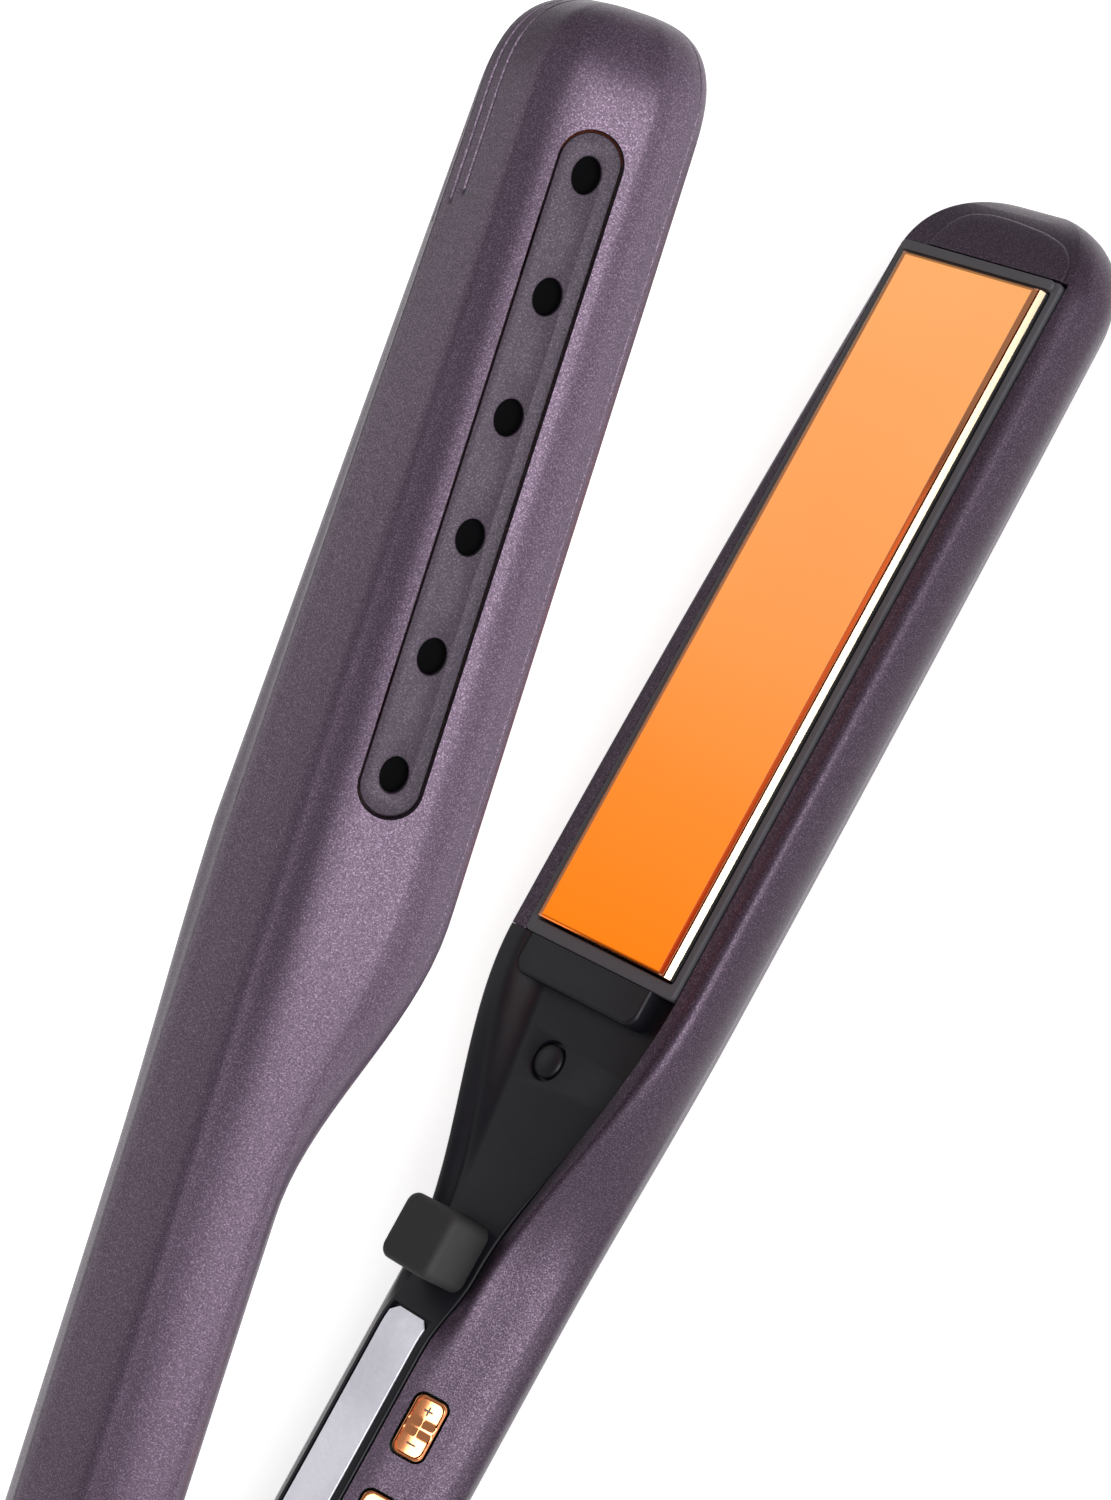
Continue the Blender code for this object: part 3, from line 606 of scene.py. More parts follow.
def label_material():
    """Blank silver foil with a soft brushed sheen and fine dimples."""
    m = Nodes("label_foil", (0.75, 0.75, 0.82), 0.38, 0.25)
    dots = m.cells(1400.0, "Distance")
    broad = m.noise(90.0, 3.0)
    m.colour(m.mix(m.span(broad, 0.0, 1.0, 0.35, 0.65), (0.7, 0.69, 0.77), (0.86, 0.85, 0.93)))
    m.rough(m.span(dots, 0.28, 0.45, 0.0, 0.6))
    m.bump(dots, 0.35, 0.00008)
    return m.mat


MAT["label"] = label_material()


# ---------------------------------------------------------------- housings

SECTION_STEPS = 5
TIP_STEPS = 26


def stations(a, b, arm, step=2.5):
    """Places along an arm where sections are taken, crowded at the tip."""
    ys = []
    y = math.ceil(a / step) * step
    while y < min(b, TIP_START[arm]):
        ys.append(y)
        y += step
    span = TIP_END[arm] - TIP_START[arm]
    for i in range(TIP_STEPS + 1):
        ys.append(TIP_START[arm] + span * math.sin(0.5 * math.pi * i / TIP_STEPS))
    if arm == "upper":
        ys += [start + by for start in GRIP_START for by in (-0.45, 0.0, 0.45)]
    return [a] + sorted(y for y in ys if a + 0.4 < y < b - 0.003) + [b]


def rear_scale(y):
    """Rounded rear edge of a housing."""
    r = 1.3
    t = max(0.0, 1.0 - (y - REAR_END) / r)
    return 1.0 - 0.09 * (1.0 - math.sqrt(max(0.0, 1.0 - t * t)))


def outer_curve(arm, side, y):
    points = outer_half(y, arm, side)
    return spline(points, SECTION_STEPS, (-SPINE_HALF, spine_depth(y, arm, -side)))


GRIP_START = (77.4, 76.0, 74.7, 73.4)


def groove_list(y):
    """(place along the section, half width, depth) of the grooves of the upper arm."""
    count = SECTION_STEPS * 9 + 1
    last = 2 * count - 1
    places = (count - 1 + 0.643, count - 1 + 0.893, last - 8.5 * SECTION_STEPS,
              last - 7.7 * SECTION_STEPS)
    grooves = [(at, 0.3, 0.55 * smooth(start - 0.5, start + 0.5, y))
               for at, start in zip(places, GRIP_START)]
    seam = 0.16 * smooth(-34.0, -22.0, y)
    grooves.append((2.9 * SECTION_STEPS, 0.13, seam))
    grooves.append((last - 2.9 * SECTION_STEPS, 0.13, seam))
    return grooves


def grooved(line, y):
    """Section with grooves sunk into it."""
    out = list(line)
    for at, half, depth in sorted(groove_list(y), reverse=True):
        i = int(at)
        p = Vector(line[i])
        q = Vector(line[i + 1])
        centre = p.lerp(q, at - i)
        along = (q - p).normalized()
        into = Vector((-along.y, along.x))
        if into.dot(Vector((0.0, 11.0)) - centre) < 0.0:
            into = -into
        new = []
        for u, v in ((-1.0, 0.0), (-0.7, 0.35), (-0.3, 0.92), (0.0, 1.0), (0.3, 0.92),
                     (0.7, 0.35), (1.0, 0.0)):
            w = centre + along * half * u + into * depth * v
            new.append((w.x, w.y))
        out[i + 1:i + 1] = new
    return out


def outer_ring(arm, y):
    section = both_sides(outer_curve(arm, 1, y), outer_curve(arm, -1, y))
    if arm == "upper":
        section = grooved(section, y)
    s = tip_scale(y, arm)
    a = TIP_SHIFT[arm]
    c = TIP_CENTRE[arm]
    if y < REAR_END + 2.0:
        s = rear_scale(y)
        a = 0.0
        c = 12.5
    return [place((a + (x - a) * s, y, c + (d - c) * s), arm) for x, d in section]


def web(name, arm, x0, x1):
    """Hinge knuckle with broken edges, drawn out to the rear wall."""
    foot = REAR_END + 1.2 - HINGE_Y
    outline = []
    for i in range(41):
        a = math.radians(64.0 + 232.0 * i / 40)
        outline.append((KNUCKLE_R * math.cos(a), -KNUCKLE_R * math.sin(a)))
    outline += [(foot, 18.9), (foot, 3.4)]
    layers = []
    for x, inset in ((x0, 0.5), (x0 + 0.15, 0.2), (x0 + 0.5, 0.0), (x1 - 0.5, 0.0),
                     (x1 - 0.15, 0.2), (x1, 0.5)):
        k = 1.0 - inset / KNUCKLE_R
        ring = [(u * k, d * k) for u, d in outline[:41]] + outline[41:]
        layers.append([place((x, HINGE_Y + u, d), arm) for u, d in ring])
    return loft(name, layers)


def key_outline(by=0.0):
    return rounded_rect(BUTTON[0] / 2 + by, BUTTON[1] / 2 + by, 1.1 + by, 6)


def paint_shade_in_grooves(obj):
    """Painted shade: the floors of the grip grooves take the matt black moulding, standing in for the
    shadow that falls in them.
    """
    obj.data.materials.append(MAT["black"])
    back = TURN.inverted()
    for face in obj.data.polygons:
        c = back @ (face.center / MM)
        if c.y < GRIP_START[-1] - 0.6 or c.z < PLANE_Z + 3.0:
            continue
        s = tip_scale(c.y, "upper")
        if s < 0.2:
            continue
        a = TIP_SHIFT["upper"]
        x = a + (c.x - a) / s
        d = TIP_CENTRE["upper"] + (c.z - PLANE_Z - TIP_CENTRE["upper"]) / s
        line = both_sides(outer_curve("upper", 1, c.y), outer_curve("upper", -1, c.y))
        for at, half, depth in groove_list(c.y)[:4]:
            p = Vector(line[int(at)])
            q = Vector(line[int(at) + 1])
            along = (q - p).normalized()
            off = Vector((x, d)) - p.lerp(q, at - int(at))
            if abs(off.dot(along)) < half * 0.8 and depth > 0.1:
                if 0.12 < abs(off.dot(Vector((-along.y, along.x)))) < 0.8:
                    face.material_index = 1


def far_edge(y):
    """The lower arm's outer line on the far side, from the opening down to the cover's back."""
    line = outer_curve("lower", -1, y)
    end = strip_depth(y, "lower") + COVER_T
    last = next(i for i, p in enumerate(line) if p[1] > end)
    part = line[:last]
    p, q = line[last - 1], line[last]
    k = (end - p[1]) / (q[1] - p[1])
    part.append((p[0] + k * (q[0] - p[0]), end))
    out = []
    for i in range(15):
        t = i / 14 * (len(part) - 1)
        j = min(int(t), len(part) - 2)
        p, q = part[j], part[j + 1]
        out.append((p[0] + (t - j) * (q[0] - p[0]), p[1] + (t - j) * (q[1] - p[1])))
    return out


def far_ramp(y):
    """Rise from the cover's face to its far edge."""
    w = half_opening(y)
    low = strip_depth(y, "lower")
    high = rim_depth(y, "lower")
    start = w - 0.3 - 4.5 * smooth(-43.0, -8.0, y)
    out = []
    for i in range(10):
        t = i / 10
        out.append((start + (w + 0.2 - start) * t, low + (high - low) * smooth(0.0, 1.0, t)))
    return out


def far_opening():
    """Tool that lowers the lower housing's far wall under the cover."""
    rings = []
    for y in stations(REAR_END + 2.0, FRAME_Y0, "lower"):
        x = half_opening(y) - 1.0
        d = strip_depth(y, "lower") + COVER_T + GAP
        rings.append([place((a, y, b), "lower") for a, b in ((-x, -6.0), (-x, d), (-40.0, d),
                                                             (-40.0, -6.0))])
    return loft("tool", rings)


def housing(arm):
    """Outer shell of one arm."""
    body = loft(arm + "_housing", [outer_ring(arm, y) for y in
                                   stations(REAR_END, TIP_END[arm] - 0.002, arm)])
    if arm == "lower":
        boolean(body, tip_pad(), "UNION")
    hollow = []
    for y in stations(REAR_END + 2.0, PLATE_L[arm] + FRAME_END + GAP, arm):
        section = both_sides(inner_half(y, arm, 1), inner_half(y, arm, -1))
        hollow.append([place((x, y, d), arm) for x, d in section])
    boolean(body, loft("tool", hollow))
    slot = rounded_rect(VENT_L / 2 + GAP, VENT_W / 2 + GAP, VENT_W / 2 + GAP - 0.01, 14)
    boolean(body, vent_stack("tool", arm, [(slot, -3.2), (slot, -0.15), (grow(slot, 0.1), 0.75),
                                           (grow(slot, 0.2), 2.0)]))
    if arm == "lower":
        boolean(body, far_opening())
        for side in (1, -1):
            x0, x1 = sorted((side * (KNUCKLE_HALF + GAP), side * LUG_OUT))
            boolean(body, web("tool", arm, x0, x1), "UNION")
        hole = PIN_R + GAP
        boolean(body, rod("tool", arm, HINGE_Y, 0.0, [(-20, hole), (20, hole)], 40))
        hole = GLAND_R + GAP
        boolean(body, barrel("tool", GLAND_DEPTH, [(REAR_END - 3, hole), (REAR_END + 4, hole)], 40))
        for y in BUTTON_Y:
            seat = key_outline(GAP)
            boolean(body, stack("tool", arm, [(seat, -3.5), (seat, 0.1), (grow(seat, 0.35), 0.6),
                                              (grow(seat, 0.9), 2.0)],
                                (BUTTON_AT[0], y, BUTTON_AT[1]), FLANK_TILT))
    else:
        boolean(body, web("tool", arm, -KNUCKLE_HALF, KNUCKLE_HALF), "UNION")
        hole = PIN_R + GAP
        boolean(body, rod("tool", arm, HINGE_Y, 0.0, [(-20, hole), (-4.8, hole), (-4.8, 5.4),
                                                      (4.8, 5.4), (4.8, hole), (20, hole)], 40))
    finish_piece(body, arm, arm + "_arm", MAT["purple"], [arm + "_shell"])
    # painted shade: the upper arm's grip grooves are coloured dark
    if arm == "upper":
        paint_shade_in_grooves(body)


PAD = [(-9.85, 99.4), (-9.8, 100.6), (-9.4, 101.9), (-8.9, 103.3), (-8.1, 104.6), (-6.8, 105.6),
       (-4.6, 106.2), (-2.5, 106.35), (0.0, 106.3), (2.5, 106.1), (5.2, 105.8), (7.6, 105.3),
       (9.8, 104.6), (11.5, 103.5), (12.7, 102.2), (13.2, 100.8), (13.35, 99.4)]


def tip_pad():
    """Low D-shaped land on the inner face of the lower tip."""
    points = spline(PAD, 3)
    middle = (1.8, 101.0)
    layers = []
    for inset, rise in ((0.0, -1.2), (0.0, 0.1), (0.05, 0.24), (0.15, 0.35), (0.3, 0.42),
                        (0.5, 0.45), (2.6, 0.45)):
        ring = []
        for x, y in points:
            away = Vector((middle[0] - x, middle[1] - y))
            away.normalize()
            x += away.x * inset
            y += away.y * inset
            s = tip_scale(y, "lower")
            c = TIP_CENTRE["lower"]
            d = c + (rim_depth(y, "lower") - c) * s
            ring.append(place((x, y, d - rise), "lower"))
        layers.append(ring)
    return loft("tool", layers)


# ---------------------------------------------------------------- inserts of an arm

def vents(arm):
    """Recessed stadium insert with six chamfered oval holes."""
    small = rounded_rect(VENT_L / 2, VENT_W / 2, VENT_W / 2 - 0.01, 14)
    layers = [(small, -2.0), (small, -0.84), (grow(small, -0.06), -0.74),
              (grow(small, -0.2), -0.7)]
    strip = vent_stack(arm + "_vents", arm, layers)
    tools = []
    for k in range(VENT_COUNT):
        v = (VENT_COUNT / 2 - 0.5 - k) * VENT_PITCH
        ring = [(v + a, b) for a, b in circle(VENT_HOLE[0] / 2, 36, VENT_HOLE[1] / VENT_HOLE[0])]
        tools.append(vent_stack("tool", arm, [(ring, -4.0), (ring, -0.86),
                                              (grow(ring, 0.07), -0.74),
                                              (grow(ring, 0.25), -0.66),
                                              (grow(ring, 0.3), 1.0)]))
    boolean(strip, joined(tools))
    finish_piece(strip, arm, arm + "_arm", MAT["vent"], [arm + "_vent_strip"])


def vent_shade_sheet(arm):
    """Near-black sheet behind the vents: painted shade for the dark inside of the vent holes."""
    outline = rounded_rect(VENT_L / 2 - 0.3, VENT_W / 2 - 0.3, VENT_W / 2 - 0.31, 14)
    piece = vent_stack(arm + "_fleece", arm, [(outline, -3.0), (outline, -2.5)])
    finish_piece(piece, arm, arm + "_arm", MAT["painted_hole_shade"])


def inner_cover(arm):
    """Funnel behind the plate that narrows to the strip along the handle."""
    t = COVER_T
    rings = []
    for y in stations(REAR_END + 2.0 + GAP, FRAME_Y0 - 0.08, arm, 1.5):
        w = half_opening(y) - GAP
        d = strip_depth(y, arm)
        half = [(w, d + t), (w, d + 0.35), (w - 0.06, d + 0.15), (w - 0.18, d + 0.04),
                (w - 0.38, d)]
        section = list(half)
        if arm == "lower":
            section += [(-x, q) for x, q in far_ramp(y) + far_edge(y)]
        else:
            section += [(-x, q) for x, q in reversed(half)]
        rings.append([place((x, y, q), arm) for x, q in section])
    cover = loft(arm + "_funnel", rings)
    top = strip_depth(-5.0, arm) - 3.0
    front = FRAME_Y0 - 0.08
    layers = []
    for h, by in ((-3.8, 0.0), (-0.5, 0.0), (-0.28, 0.06), (-0.1, 0.18), (-0.02, 0.34),
                  (0.0, 0.5)):
        r = 1.9
        ring = [(front, 11.4 - by)]
        ring += [(front - 5.2 + by + r - r * math.sin(a), 11.4 - by - r + r * math.cos(a))
                 for a in [0.5 * math.pi * i / 8 for i in range(9)]]
        ring += [(front - 5.2 + by + r - r * math.cos(a), -11.4 + by + r - r * math.sin(a))
                 for a in [0.5 * math.pi * i / 8 for i in range(9)]]
        ring += [(front, -11.4 + by)]
        layers.append((ring, h))
    boolean(cover, stack("tool", arm, layers, (LEDGE_MIDDLE[arm], 0.0, top)), "UNION")
    hole = circle(SCREW_R, 48)
    boolean(cover, stack("tool", arm, [(hole, -1.0), (hole, -0.3), (grow(hole, 0.1), -0.1),
                                       (grow(hole, 0.32), 0.01), (grow(hole, 0.34), 2.0)],
                         (SCREW_X[arm], SCREW_Y, strip_depth(SCREW_Y, arm))))
    if arm == "lower":
        a, b = LABEL_X[0] - GAP, LABEL_X[1] + GAP
        rings = []
        for y in [LABEL_Y[0] - GAP + i * (LABEL_Y[1] - LABEL_Y[0] + 2 * GAP) / 24
                  for i in range(25)]:
            d = strip_depth(y, arm) + 0.55
            rings.append([place(p, arm) for p in ((b, y, -3.0), (b, y, d), (a, y, d),
                                                  (a, y, -3.0))])
        boolean(cover, loft("tool", rings))
    finish_piece(cover, arm, arm + "_arm", MAT["black"], [arm + "_inner_cover"])


def plug(arm):
    """Rounded plug in the dimple of the cover."""
    layers = [(circle(2.25, 40), -0.7)]
    for i in range(9):
        a = 0.5 * math.pi * i / 8
        layers.append((circle(max(0.05, 2.25 * math.cos(a)), 40), -0.3 + 0.75 * math.sin(a)))
    piece = stack(arm + "_plug", arm, layers, (SCREW_X[arm], SCREW_Y, strip_depth(SCREW_Y, arm)))
    finish_piece(piece, arm, arm + "_arm", MAT["black"], [arm + "_screw_plug"])


def carrier(arm):
    """Frame round the floating plate, its end bar standing a little proud."""
    end = PLATE_L[arm] + FRAME_END
    mid = (FRAME_Y0 + end) / 2
    half = (end - FRAME_Y0) / 2
    outer = rounded_rect(half, FRAME_HALF, 0.8, 8)
    layers = [(outer, -4.6), (outer, -FRAME_TOP - 0.2), (grow(outer, -0.06), -FRAME_TOP - 0.06),
              (grow(outer, -0.2), -FRAME_TOP)]
    piece = stack(arm + "_carrier", arm, layers, (0.0, mid, 0.0))
    y0 = PLATE_L[arm] + GAP
    bar = rounded_rect((end - y0) / 2 - 0.02, 13.25, 0.7, 8)
    layers = [(bar, -4.0), (bar, -FRAME_TOP + 0.3), (grow(bar, -0.06), -FRAME_TOP + 0.42),
              (grow(bar, -0.2), -FRAME_TOP + 0.48)]
    boolean(piece, stack("tool", arm, layers, (-0.35, (y0 + end) / 2, 0.0)), "UNION")
    hole = rounded_rect(PLATE_L[arm] / 2 + GAP, PLATE_W / 2 + GAP, 0.5, 4)
    boolean(piece, stack("tool", arm, [(hole, -9.0), (hole, -FRAME_TOP - 0.15),
                                       (grow(hole, 0.15), -FRAME_TOP + 0.02),
                                       (grow(hole, 0.15), 2.0)], (0.0, PLATE_L[arm] / 2, 0.0)))
    finish_piece(piece, arm, arm + "_arm", MAT["frame"], [arm + "_plate_frame"])


def gold_plate(arm):
    """Mirror plate: flat face, shallow bevel, fine step and a bright sloping long edge."""
    length = PLATE_L[arm]
    top = PLATE_FACE
    half = PLATE_W / 2
    section = [(half - 1.6, top), (half - 1.5, top), (half - 1.4, top + 0.01), (half - 0.84, top + 0.16),
               (half - 0.76, top + 0.22), (half - 0.74, top + 0.55), (half - 0.64, top + 0.55),
               (half - 0.6, top + 0.34), (half - 0.55, top + 0.32), (half - 0.05, top + 1.0),
               (half, top + 1.1), (half, top + 2.2)]
    rings = []
    for y, s in ((0.0, 0.6), (0.06, 0.3), (0.25, 0.06), (0.5, 0.0), (0.6, 0.0), (length - 0.6, 0.0),
                 (length - 0.5, 0.0), (length - 0.25, 0.06), (length - 0.06, 0.3), (length, 0.6)):
        rings.append([place((x, y, max(d, top + s)), arm) for x, d in both_sides(section)])
    piece = loft(arm + "_gold_plate", rings)
    piece.data.materials.clear()
    kinds = []
    for face in piece.data.polygons:
        c = face.center
        inset = half - abs(c.x)
        # The faces on the outermost strip of the plate's long sides take the dark rubber: painted shade
        # standing in for the gap between plate and frame.
        kinds.append(2 if 0.62 < inset < 1.45 else 3 if inset < 0.03
                     else 1 if inset < 0.62 and abs(face.normal.y) < 0.5 else 0)
    finish_piece(piece, arm, arm + "_plate_body", MAT["gold"], [arm + "_plate"],
                 20.0)
    piece.data.materials.append(MAT["gold_side"])
    piece.data.materials.append(MAT["gold_edge"])
    piece.data.materials.append(MAT["rubber"])
    piece.data.polygons.foreach_set("material_index", kinds)


def base(arm):
    housing(arm)
    vents(arm)
    # painted shade behind the vent holes
    vent_shade_sheet(arm)
    inner_cover(arm)
    plug(arm)
    carrier(arm)
    gold_plate(arm)


# ---------------------------------------------------------------- lower arm only

def dense(outline, step=0.35):
    """Outline with its long sides divided."""
    out = []
    for i, p in enumerate(outline):
        q = outline[(i + 1) % len(outline)]
        n = max(1, int(math.dist(p, q) / step))
        out += [(p[0] + (q[0] - p[0]) * j / n, p[1] + (q[1] - p[1]) * j / n) for j in range(n)]
    return out


def key(name, node, body, y, face):
    """Mirror key with a sculpted face: face(u, v) gives its height."""
    c = math.cos(math.radians(FLANK_TILT))
    s = math.sin(math.radians(FLANK_TILT))
    full = dense(key_outline())
    rings = []
    for by, h, flat in ((0.0, -2.0, 1), (0.0, 0.3, 1), (0.05, 0.44, 1), (0.16, 0.55, 1),
                        (0.34, 0.6, 1), (0.5, 0.0, 0), (0.8, 0.0, 0), (1.1, 0.0, 0),
                        (1.4, 0.0, 0), (1.7, 0.0, 0), (1.95, 0.0, 0), (2.1, 0.0, 0)):
        ring = []
        ku = 1.0 - by / (BUTTON[0] / 2)
        kv = 1.0 - by / (BUTTON[1] / 2)
        for u, v in full:
            if by >= 1.1:
                u, v = u * ku, v * kv
            else:
                u, v = u * ku, v * kv
            z = h if flat else face(u, v)
            ring.append(place((BUTTON_AT[0] + v * c + z * s, y + u,
                               BUTTON_AT[1] + v * s - z * c), "lower"))
        rings.append(ring)
    piece = loft(name, rings)
    finish_piece(piece, "lower", body, MAT["rose"], [node], 50.0)
    return piece


def rocker_face(u, v):
    ridge = 0.42 * math.exp(-(u / 0.75) ** 2)
    bowl = 0.18 * math.cos(min(1.0, abs(u) / 3.6) * math.pi * 2.0 - math.pi)
    return 0.36 + ridge - 0.1 * bowl - 0.03 * v * v


def power_face(u, v):
    return 0.3 + 0.28 * min(1.0, (u / 3.2) ** 2 + (v / 1.7) ** 2)


def mark(name, y, strokes, depth, body):
    """Raised marks on a key: strokes are lists of (u, v)."""
    c = math.cos(math.radians(FLANK_TILT))
    s = math.sin(math.radians(FLANK_TILT))
    verts = []
    faces = []
    for points in strokes:
        rings = []
        for i, (u, v) in enumerate(points):
            a = points[max(i - 1, 0)]
            b = points[min(i + 1, len(points) - 1)]
            t = Vector((b[0] - a[0], b[1] - a[1])).normalized()
            n = Vector((-t.y, t.x))
            ring = []
            for w, h in ((-0.13, -0.3), (-0.13, 0.03), (-0.08, 0.07), (0.08, 0.07),
                         (0.13, 0.03), (0.13, -0.3)):
                uu = u + n.x * w
                vv = v + n.y * w
                z = depth(uu, vv) + h
                ring.append(place((BUTTON_AT[0] + vv * c + z * s, y + uu,
                                   BUTTON_AT[1] + vv * s - z * c), "lower"))
            rings.append(ring)
        start = len(verts)
        n = len(rings[0])
        verts += [p for ring in rings for p in ring]
        for i in range(len(rings) - 1):
            for j in range(n):
                k = (j + 1) % n
                q = start + i * n
                faces.append((q + j, q + k, q + n + k, q + n + j))
        faces.append(tuple(range(start, start + n)))
        faces.append(tuple(range(start + (len(rings) - 1) * n, start + len(rings) * n)))
    piece = mesh_object(name, verts, faces)
    finish_piece(piece, "lower", body, MAT["mark"])


def keys():
    key("temp_key_cap", "temp_rocker", "temp_key", BUTTON_Y[0], rocker_face)
    key("power_key_cap", "power_button", "power_key", BUTTON_Y[1], power_face)
    at = 2.25
    mark("temp_key_marks", BUTTON_Y[0],
         [[(at - 0.6, 0.0), (at, 0.0), (at + 0.6, 0.0)], [(at, -0.6), (at, 0.0), (at, 0.6)],
          [(-at, -0.6), (-at, 0.0), (-at, 0.6)]], rocker_face, "temp_key")
    arc = [(0.85 * math.cos(a), 0.85 * math.sin(a)) for a in
           (math.radians(40 + 280 * i / 20) for i in range(21))]
    mark("power_key_marks", BUTTON_Y[1], [arc, [(0.35, 0.0), (0.7, 0.0), (1.15, 0.0)]],
         power_face, "power_key")


def stop_block():
    """Rounded rubber block and the pad that lands on it."""
    y0, y1 = BLOCK_Y
    mid = (y0 + y1) / 2
    half = (y1 - y0) / 2
    low = strip_depth(y0, "lower") - GAP
    top = -BLOCK_TOP
    layers = [(rounded_rect(half - 0.25, BLOCK_HALF - 0.25, 1.25, 8), -low),
              (rounded_rect(half, BLOCK_HALF, 1.5, 8), -low + 0.35)]
    for i in range(7):
        a = 0.5 * math.pi * i / 6
        inset = 1.05 * (1.0 - math.cos(a))
        layers.append((rounded_rect(half - inset, BLOCK_HALF - inset, 1.5 - 0.5 * inset, 8),
                       top - 1.05 + 1.05 * math.sin(a)))
    piece = stack("rubber_block", "lower", layers, (BLOCK_X, mid, 0.0))
    finish_piece(piece, "lower", "lower_arm", MAT["rubber"], ["stop_block"], 60.0)
    deep = strip_depth(mid, "upper") - GAP
    rings = []
    w = BLOCK_HALF - 0.4
    for x, inset in ((-w, 0.35), (-w + 0.1, 0.1), (-w + 0.35, 0.0), (w - 0.35, 0.0),
                     (w - 0.1, 0.1), (w, 0.35)):
        rings.append([place((BLOCK_X + x, y, d), "upper") for y, d in (
            (y0 + inset, deep), (y0 + inset, 3.25 + inset + 0.3), (y0 + inset + 0.3, 3.25 + inset),
            (y1 - inset - 0.3, 4.6 + inset), (y1 - inset, 4.6 + inset + 0.2), (y1 - inset, deep))])
    piece = loft("rubber_strike", rings)
    finish_piece(piece, "upper", "upper_arm", MAT["rubber"], ["strike_pad"])


def label():
    """Blank foil label sunk in the handle strip."""
    rings = []
    n = 44
    for i in range(n + 1):
        y = LABEL_Y[0] + (LABEL_Y[1] - LABEL_Y[0]) * i / n
        d = strip_depth(y, "lower")
        r = 1.1
        e = min(y - LABEL_Y[0], LABEL_Y[1] - y)
        inset = 0.0
        if e < r:
            inset = r - math.sqrt(max(0.0, r * r - (r - e) ** 2))
        a, b = LABEL_X[0] + inset, LABEL_X[1] - inset
        rings.append([place(p, "lower") for p in ((b, y, d + 0.25), (b, y, d + 0.07),
                                                  (b - 0.07, y, d), (a + 0.07, y, d),
                                                  (a, y, d + 0.07), (a, y, d + 0.25))])
    piece = loft("foil_label", rings)
    finish_piece(piece, "lower", "lower_arm", MAT["label"], ["rating_label"])


def hinge_parts():
    """Pin, caps, spring, gland collar and swivel."""
    end = LUG_OUT - 0.4
    spans = [(-end, PIN_R - 0.5), (-end + 0.12, PIN_R - 0.2), (-end + 0.4, PIN_R),
             (end - 0.4, PIN_R), (end - 0.12, PIN_R - 0.2), (end, PIN_R - 0.5)]
    piece = rod("pin", "lower", HINGE_Y, 0.0, spans, 48)
    finish_piece(piece, "lower", "lower_arm", MAT["steel"], ["hinge_pin"])
    for tag, side in (("near", 1), ("far", -1)):
        profile = [(LUG_OUT + GAP, 7.2), (LUG_OUT + 0.45, 7.4), (LUG_OUT + 1.0, 7.4),
                   (LUG_OUT + 1.35, 7.25), (LUG_OUT + 1.6, 6.95), (LUG_OUT + 1.7, 6.6),
                   (LUG_OUT + 1.7, 4.9), (LUG_OUT + 1.6, 4.7), (LUG_OUT + 1.35, 4.5),
                   (LUG_OUT + 1.3, 4.2), (LUG_OUT + 1.3, 0.4)]
        piece = rod("cap_" + tag, "lower", HINGE_Y, 0.0, [(side * x, r) for x, r in profile], 72)
        finish_piece(piece, "lower", "lower_arm", MAT["rose"],
                     ["hinge_cap_" + tag], 50.0)
    turns = 5
    steps = 36
    rings = []
    for i in range(turns * steps + 1):
        t = i / (turns * steps)
        a = 2 * math.pi * turns * t
        ring = []
        for j in range(12):
            b = 2 * math.pi * j / 12
            r = 4.1 + 0.5 * math.cos(b)
            ring.append(place((-3.7 + 7.4 * t + 0.5 * math.sin(b), HINGE_Y + r * math.cos(a),
                               r * math.sin(a)), "lower"))
        rings.append(ring)
    piece = loft("spring", rings)
    finish_piece(piece, "lower", "lower_arm", MAT["steel"], ["hinge_spring"], 60.0)
    e = REAR_END
    spans = [(e - GAP, 5.3), (e - 0.45, 5.4), (e - 1.2, 5.4), (e - 1.35, 5.2), (e - 1.6, 5.2),
             (e - 1.75, 5.35), (e - 3.6, 5.15), (e - 3.85, 5.05), (e - 4.0, 4.8)]
    piece = barrel("collar", GLAND_DEPTH, spans, 56)
    hole = GLAND_R + GAP
    boolean(piece, barrel("tool", GLAND_DEPTH, [(e + 2, hole), (e - 9, hole)], 56))
    finish_piece(piece, "lower", "lower_arm", MAT["black"], ["gland_collar"])
    spans = [(e + 5.0, 3.2), (e + 4.9, 4.9), (e + 4.6, 5.2), (e + 2.4, 5.2), (e + 2.3, GLAND_R),
             (e - 4.3, GLAND_R), (e - 4.35, 4.6), (e - 4.5, 4.8)]
    for i in range(4):
        y = e - 5.3 - 1.15 * i
        r = 4.78 - 0.06 * i
        spans += [(y, r), (y - 0.12, r - 0.35), (y - 0.42, r - 0.35), (y - 0.54, r)]
    spans += [(e - 10.4, 4.5), (e - 11.2, 4.3), (e - 11.8, 3.9), (e - 12.0, 3.5)]
    piece = barrel("swivel", GLAND_DEPTH, spans, 56)
    boolean(piece, barrel("tool", GLAND_DEPTH, [(e + 9, 2.2), (e - 11.5, 2.2), (e - 12.1, 2.8),
                                                (e - 20, 2.8)], 40))
    finish_piece(piece, "lower", "cord_swivel", MAT["black"], ["cord_swivel"])


def mark_material():
    m = Nodes("mark_enamel", (0.05, 0.02, 0.012), 0.35)
    m.rough(m.span(m.noise(900.0), 0.28, 0.45))
    return m.mat


MAT["mark"] = mark_material()
MAT["gold_edge"] = polished("plate_bevel", (0.72, 0.3, 0.14), 0.2, (1.0, 0.06, 1.0))

for arm_name in ("lower", "upper"):
    base(arm_name)
keys()
stop_block()
label()
hinge_parts()

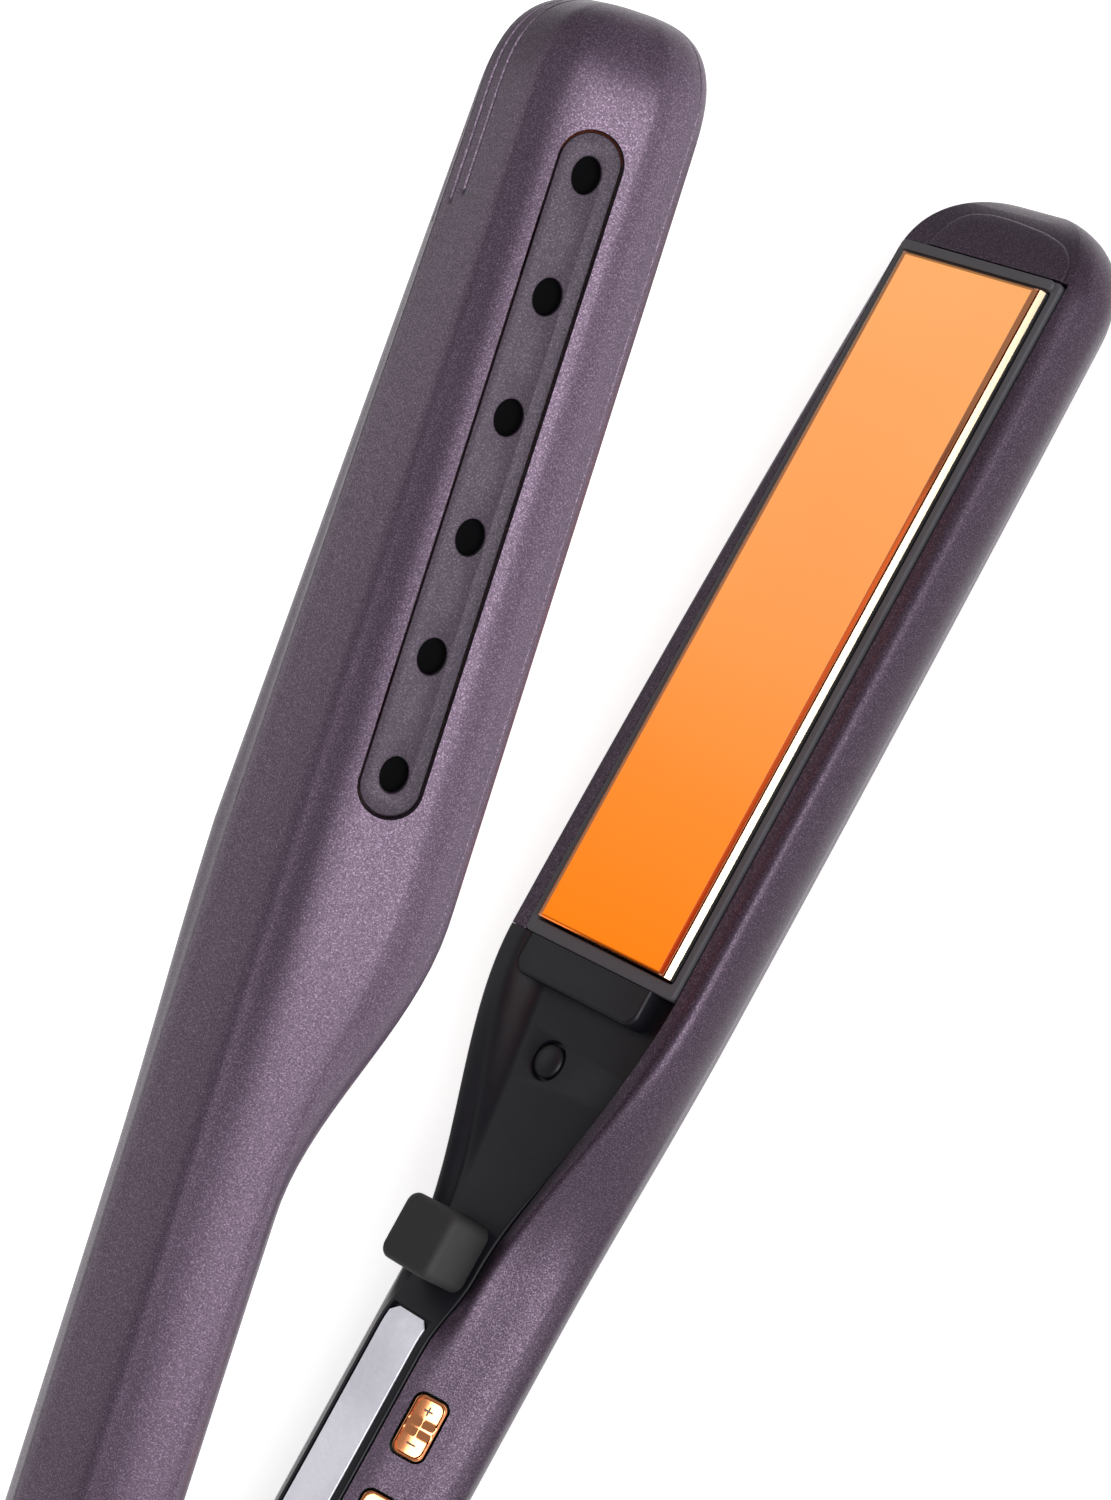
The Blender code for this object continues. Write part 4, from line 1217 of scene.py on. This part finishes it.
INSIDE = {
    "lower_heater": "ceramic", "upper_heater": "ceramic", "lower_insulator": "mica",
    "upper_insulator": "mica", "lower_cushion_front": "silicone",
    "lower_cushion_rear": "silicone", "upper_cushion_front": "silicone",
    "upper_cushion_rear": "silicone", "main_board": "board", "button_board": "board",
    "triac": "component", "relay": "component", "temp_switch": "component",
    "power_switch": "component", "capacitor": "steel", "thermal_fuse": "steel",
    "thermistor": "brass",
}
for node_name, kind in INSIDE.items():
    obj = frame["nodes"][node_name]
    obj.data.materials.clear()
    obj.data.materials.append(MAT[kind])
    mod = obj.modifiers.new("edge", "BEVEL")
    mod.width = 0.2 * MM
    mod.segments = 2
    mod.limit_method = "ANGLE"
    mod.angle_limit = math.radians(50.0)


# ---------------------------------------------------------------- floor, light and camera

FLOOR_Z = -0.0003            # metres: the floor lies a hair under the arm
FLOOR_HALF = 4
FLOOR_GLOW = 0.55            # keeps the floor white without a hard shadow
STUDIO_STRENGTH = 0.45
CAMERA_RIGHT = (0.649, -0.292, 0.702)
CAMERA_UP = (0.482, 0.872, -0.083)
CAMERA_OFFSET = (5.225, -24.146, -496.967)   # millimetres, in the camera's own axes
SENSOR_WIDTH = 36.0
LENS = 96.0
CLIP_START = 0.01


def floor():
    m = Nodes("pale_floor", (0.93, 0.93, 0.935), 0.7)
    m.rough(m.span(m.noise(3.0), 0.65, 0.75))
    m.set("Emission Color", (1.0, 1.0, 1.0, 1.0))
    m.set("Emission Strength", FLOOR_GLOW)
    corners = ((-1, -1), (1, -1), (1, 1), (-1, 1))
    obj = mesh_object("floor", [Vector((x * FLOOR_HALF, y * FLOOR_HALF, FLOOR_Z))
                                for x, y in corners], [(0, 1, 2, 3)])
    obj.data.materials.append(m.mat)


def area(name, centre, target, size, power, receivers=None):
    """Soft rectangular light in metres and watts. With receivers, it lights only those pieces."""
    data = bpy.data.lights.new(name, "AREA")
    data.shape = "RECTANGLE"
    data.size, data.size_y = size
    data.energy = power
    obj = bpy.data.objects.new(name, data)
    obj.location = centre
    aim = Vector(target) - Vector(centre)
    obj.rotation_euler = aim.to_track_quat("-Z", "Y").to_euler()
    obj.visible_camera = False
    bpy.context.scene.collection.objects.link(obj)
    if receivers:
        group = bpy.data.collections.new(name + "_receivers")
        for piece in receivers:
            group.objects.link(piece)
        obj.light_linking.receiver_collection = group
        obj.light_linking.blocker_collection = group


def world():
    w = bpy.data.worlds.new("studio")
    bpy.context.scene.world = w
    w.use_nodes = True
    back = w.node_tree.nodes["Background"]
    back.inputs["Color"].default_value = (1.0, 1.0, 1.0, 1.0)
    back.inputs["Strength"].default_value = STUDIO_STRENGTH


def camera():
    x = Vector(CAMERA_RIGHT).normalized()
    y = Vector(CAMERA_UP)
    y = (y - x * y.dot(x)).normalized()
    z = x.cross(y)
    turn = Matrix((x, y, z)).transposed()
    place_at = -(turn.transposed() @ Vector(CAMERA_OFFSET))
    place_at.z += PLANE_Z
    matrix = turn.transposed().to_4x4()
    matrix.translation = place_at * MM
    data = bpy.data.cameras.new("camera")
    data.sensor_width = SENSOR_WIDTH
    data.lens = LENS
    data.clip_start = CLIP_START
    obj = bpy.data.objects.new("camera", data)
    obj.matrix_world = matrix
    bpy.context.scene.collection.objects.link(obj)
    bpy.context.scene.camera = obj


floor()
world()
camera()
area("key", (1.72, -0.2, 0.94), (0.0, 0.0, 0.02), (1.15, 1.15), 34.0)
upper_pieces = [bpy.data.objects[n] for n in ("upper_housing", "upper_vents")]
upper_shell = [bpy.data.objects["upper_housing"]]
area("bounce", (0.95, 0.25, -0.62), (0.0, 0.0, 0.07), (1.3, 1.3), 35.0, upper_pieces)
area("lift", (1.0, -0.35, 1.55), (0.0, 0.0, 0.07), (1.6, 1.6), 34.0, upper_shell)
area("rim", (-1.45, -0.5, 0.75), (0.0, 0.0, 0.07), (1.2, 1.2), 6.0, upper_shell)
area("far", (-1.75, 0.25, 1.75), (0.0, 0.04, 0.02), (1.4, 1.1), 3.6)
bpy.context.scene.view_settings.view_transform = "Standard"
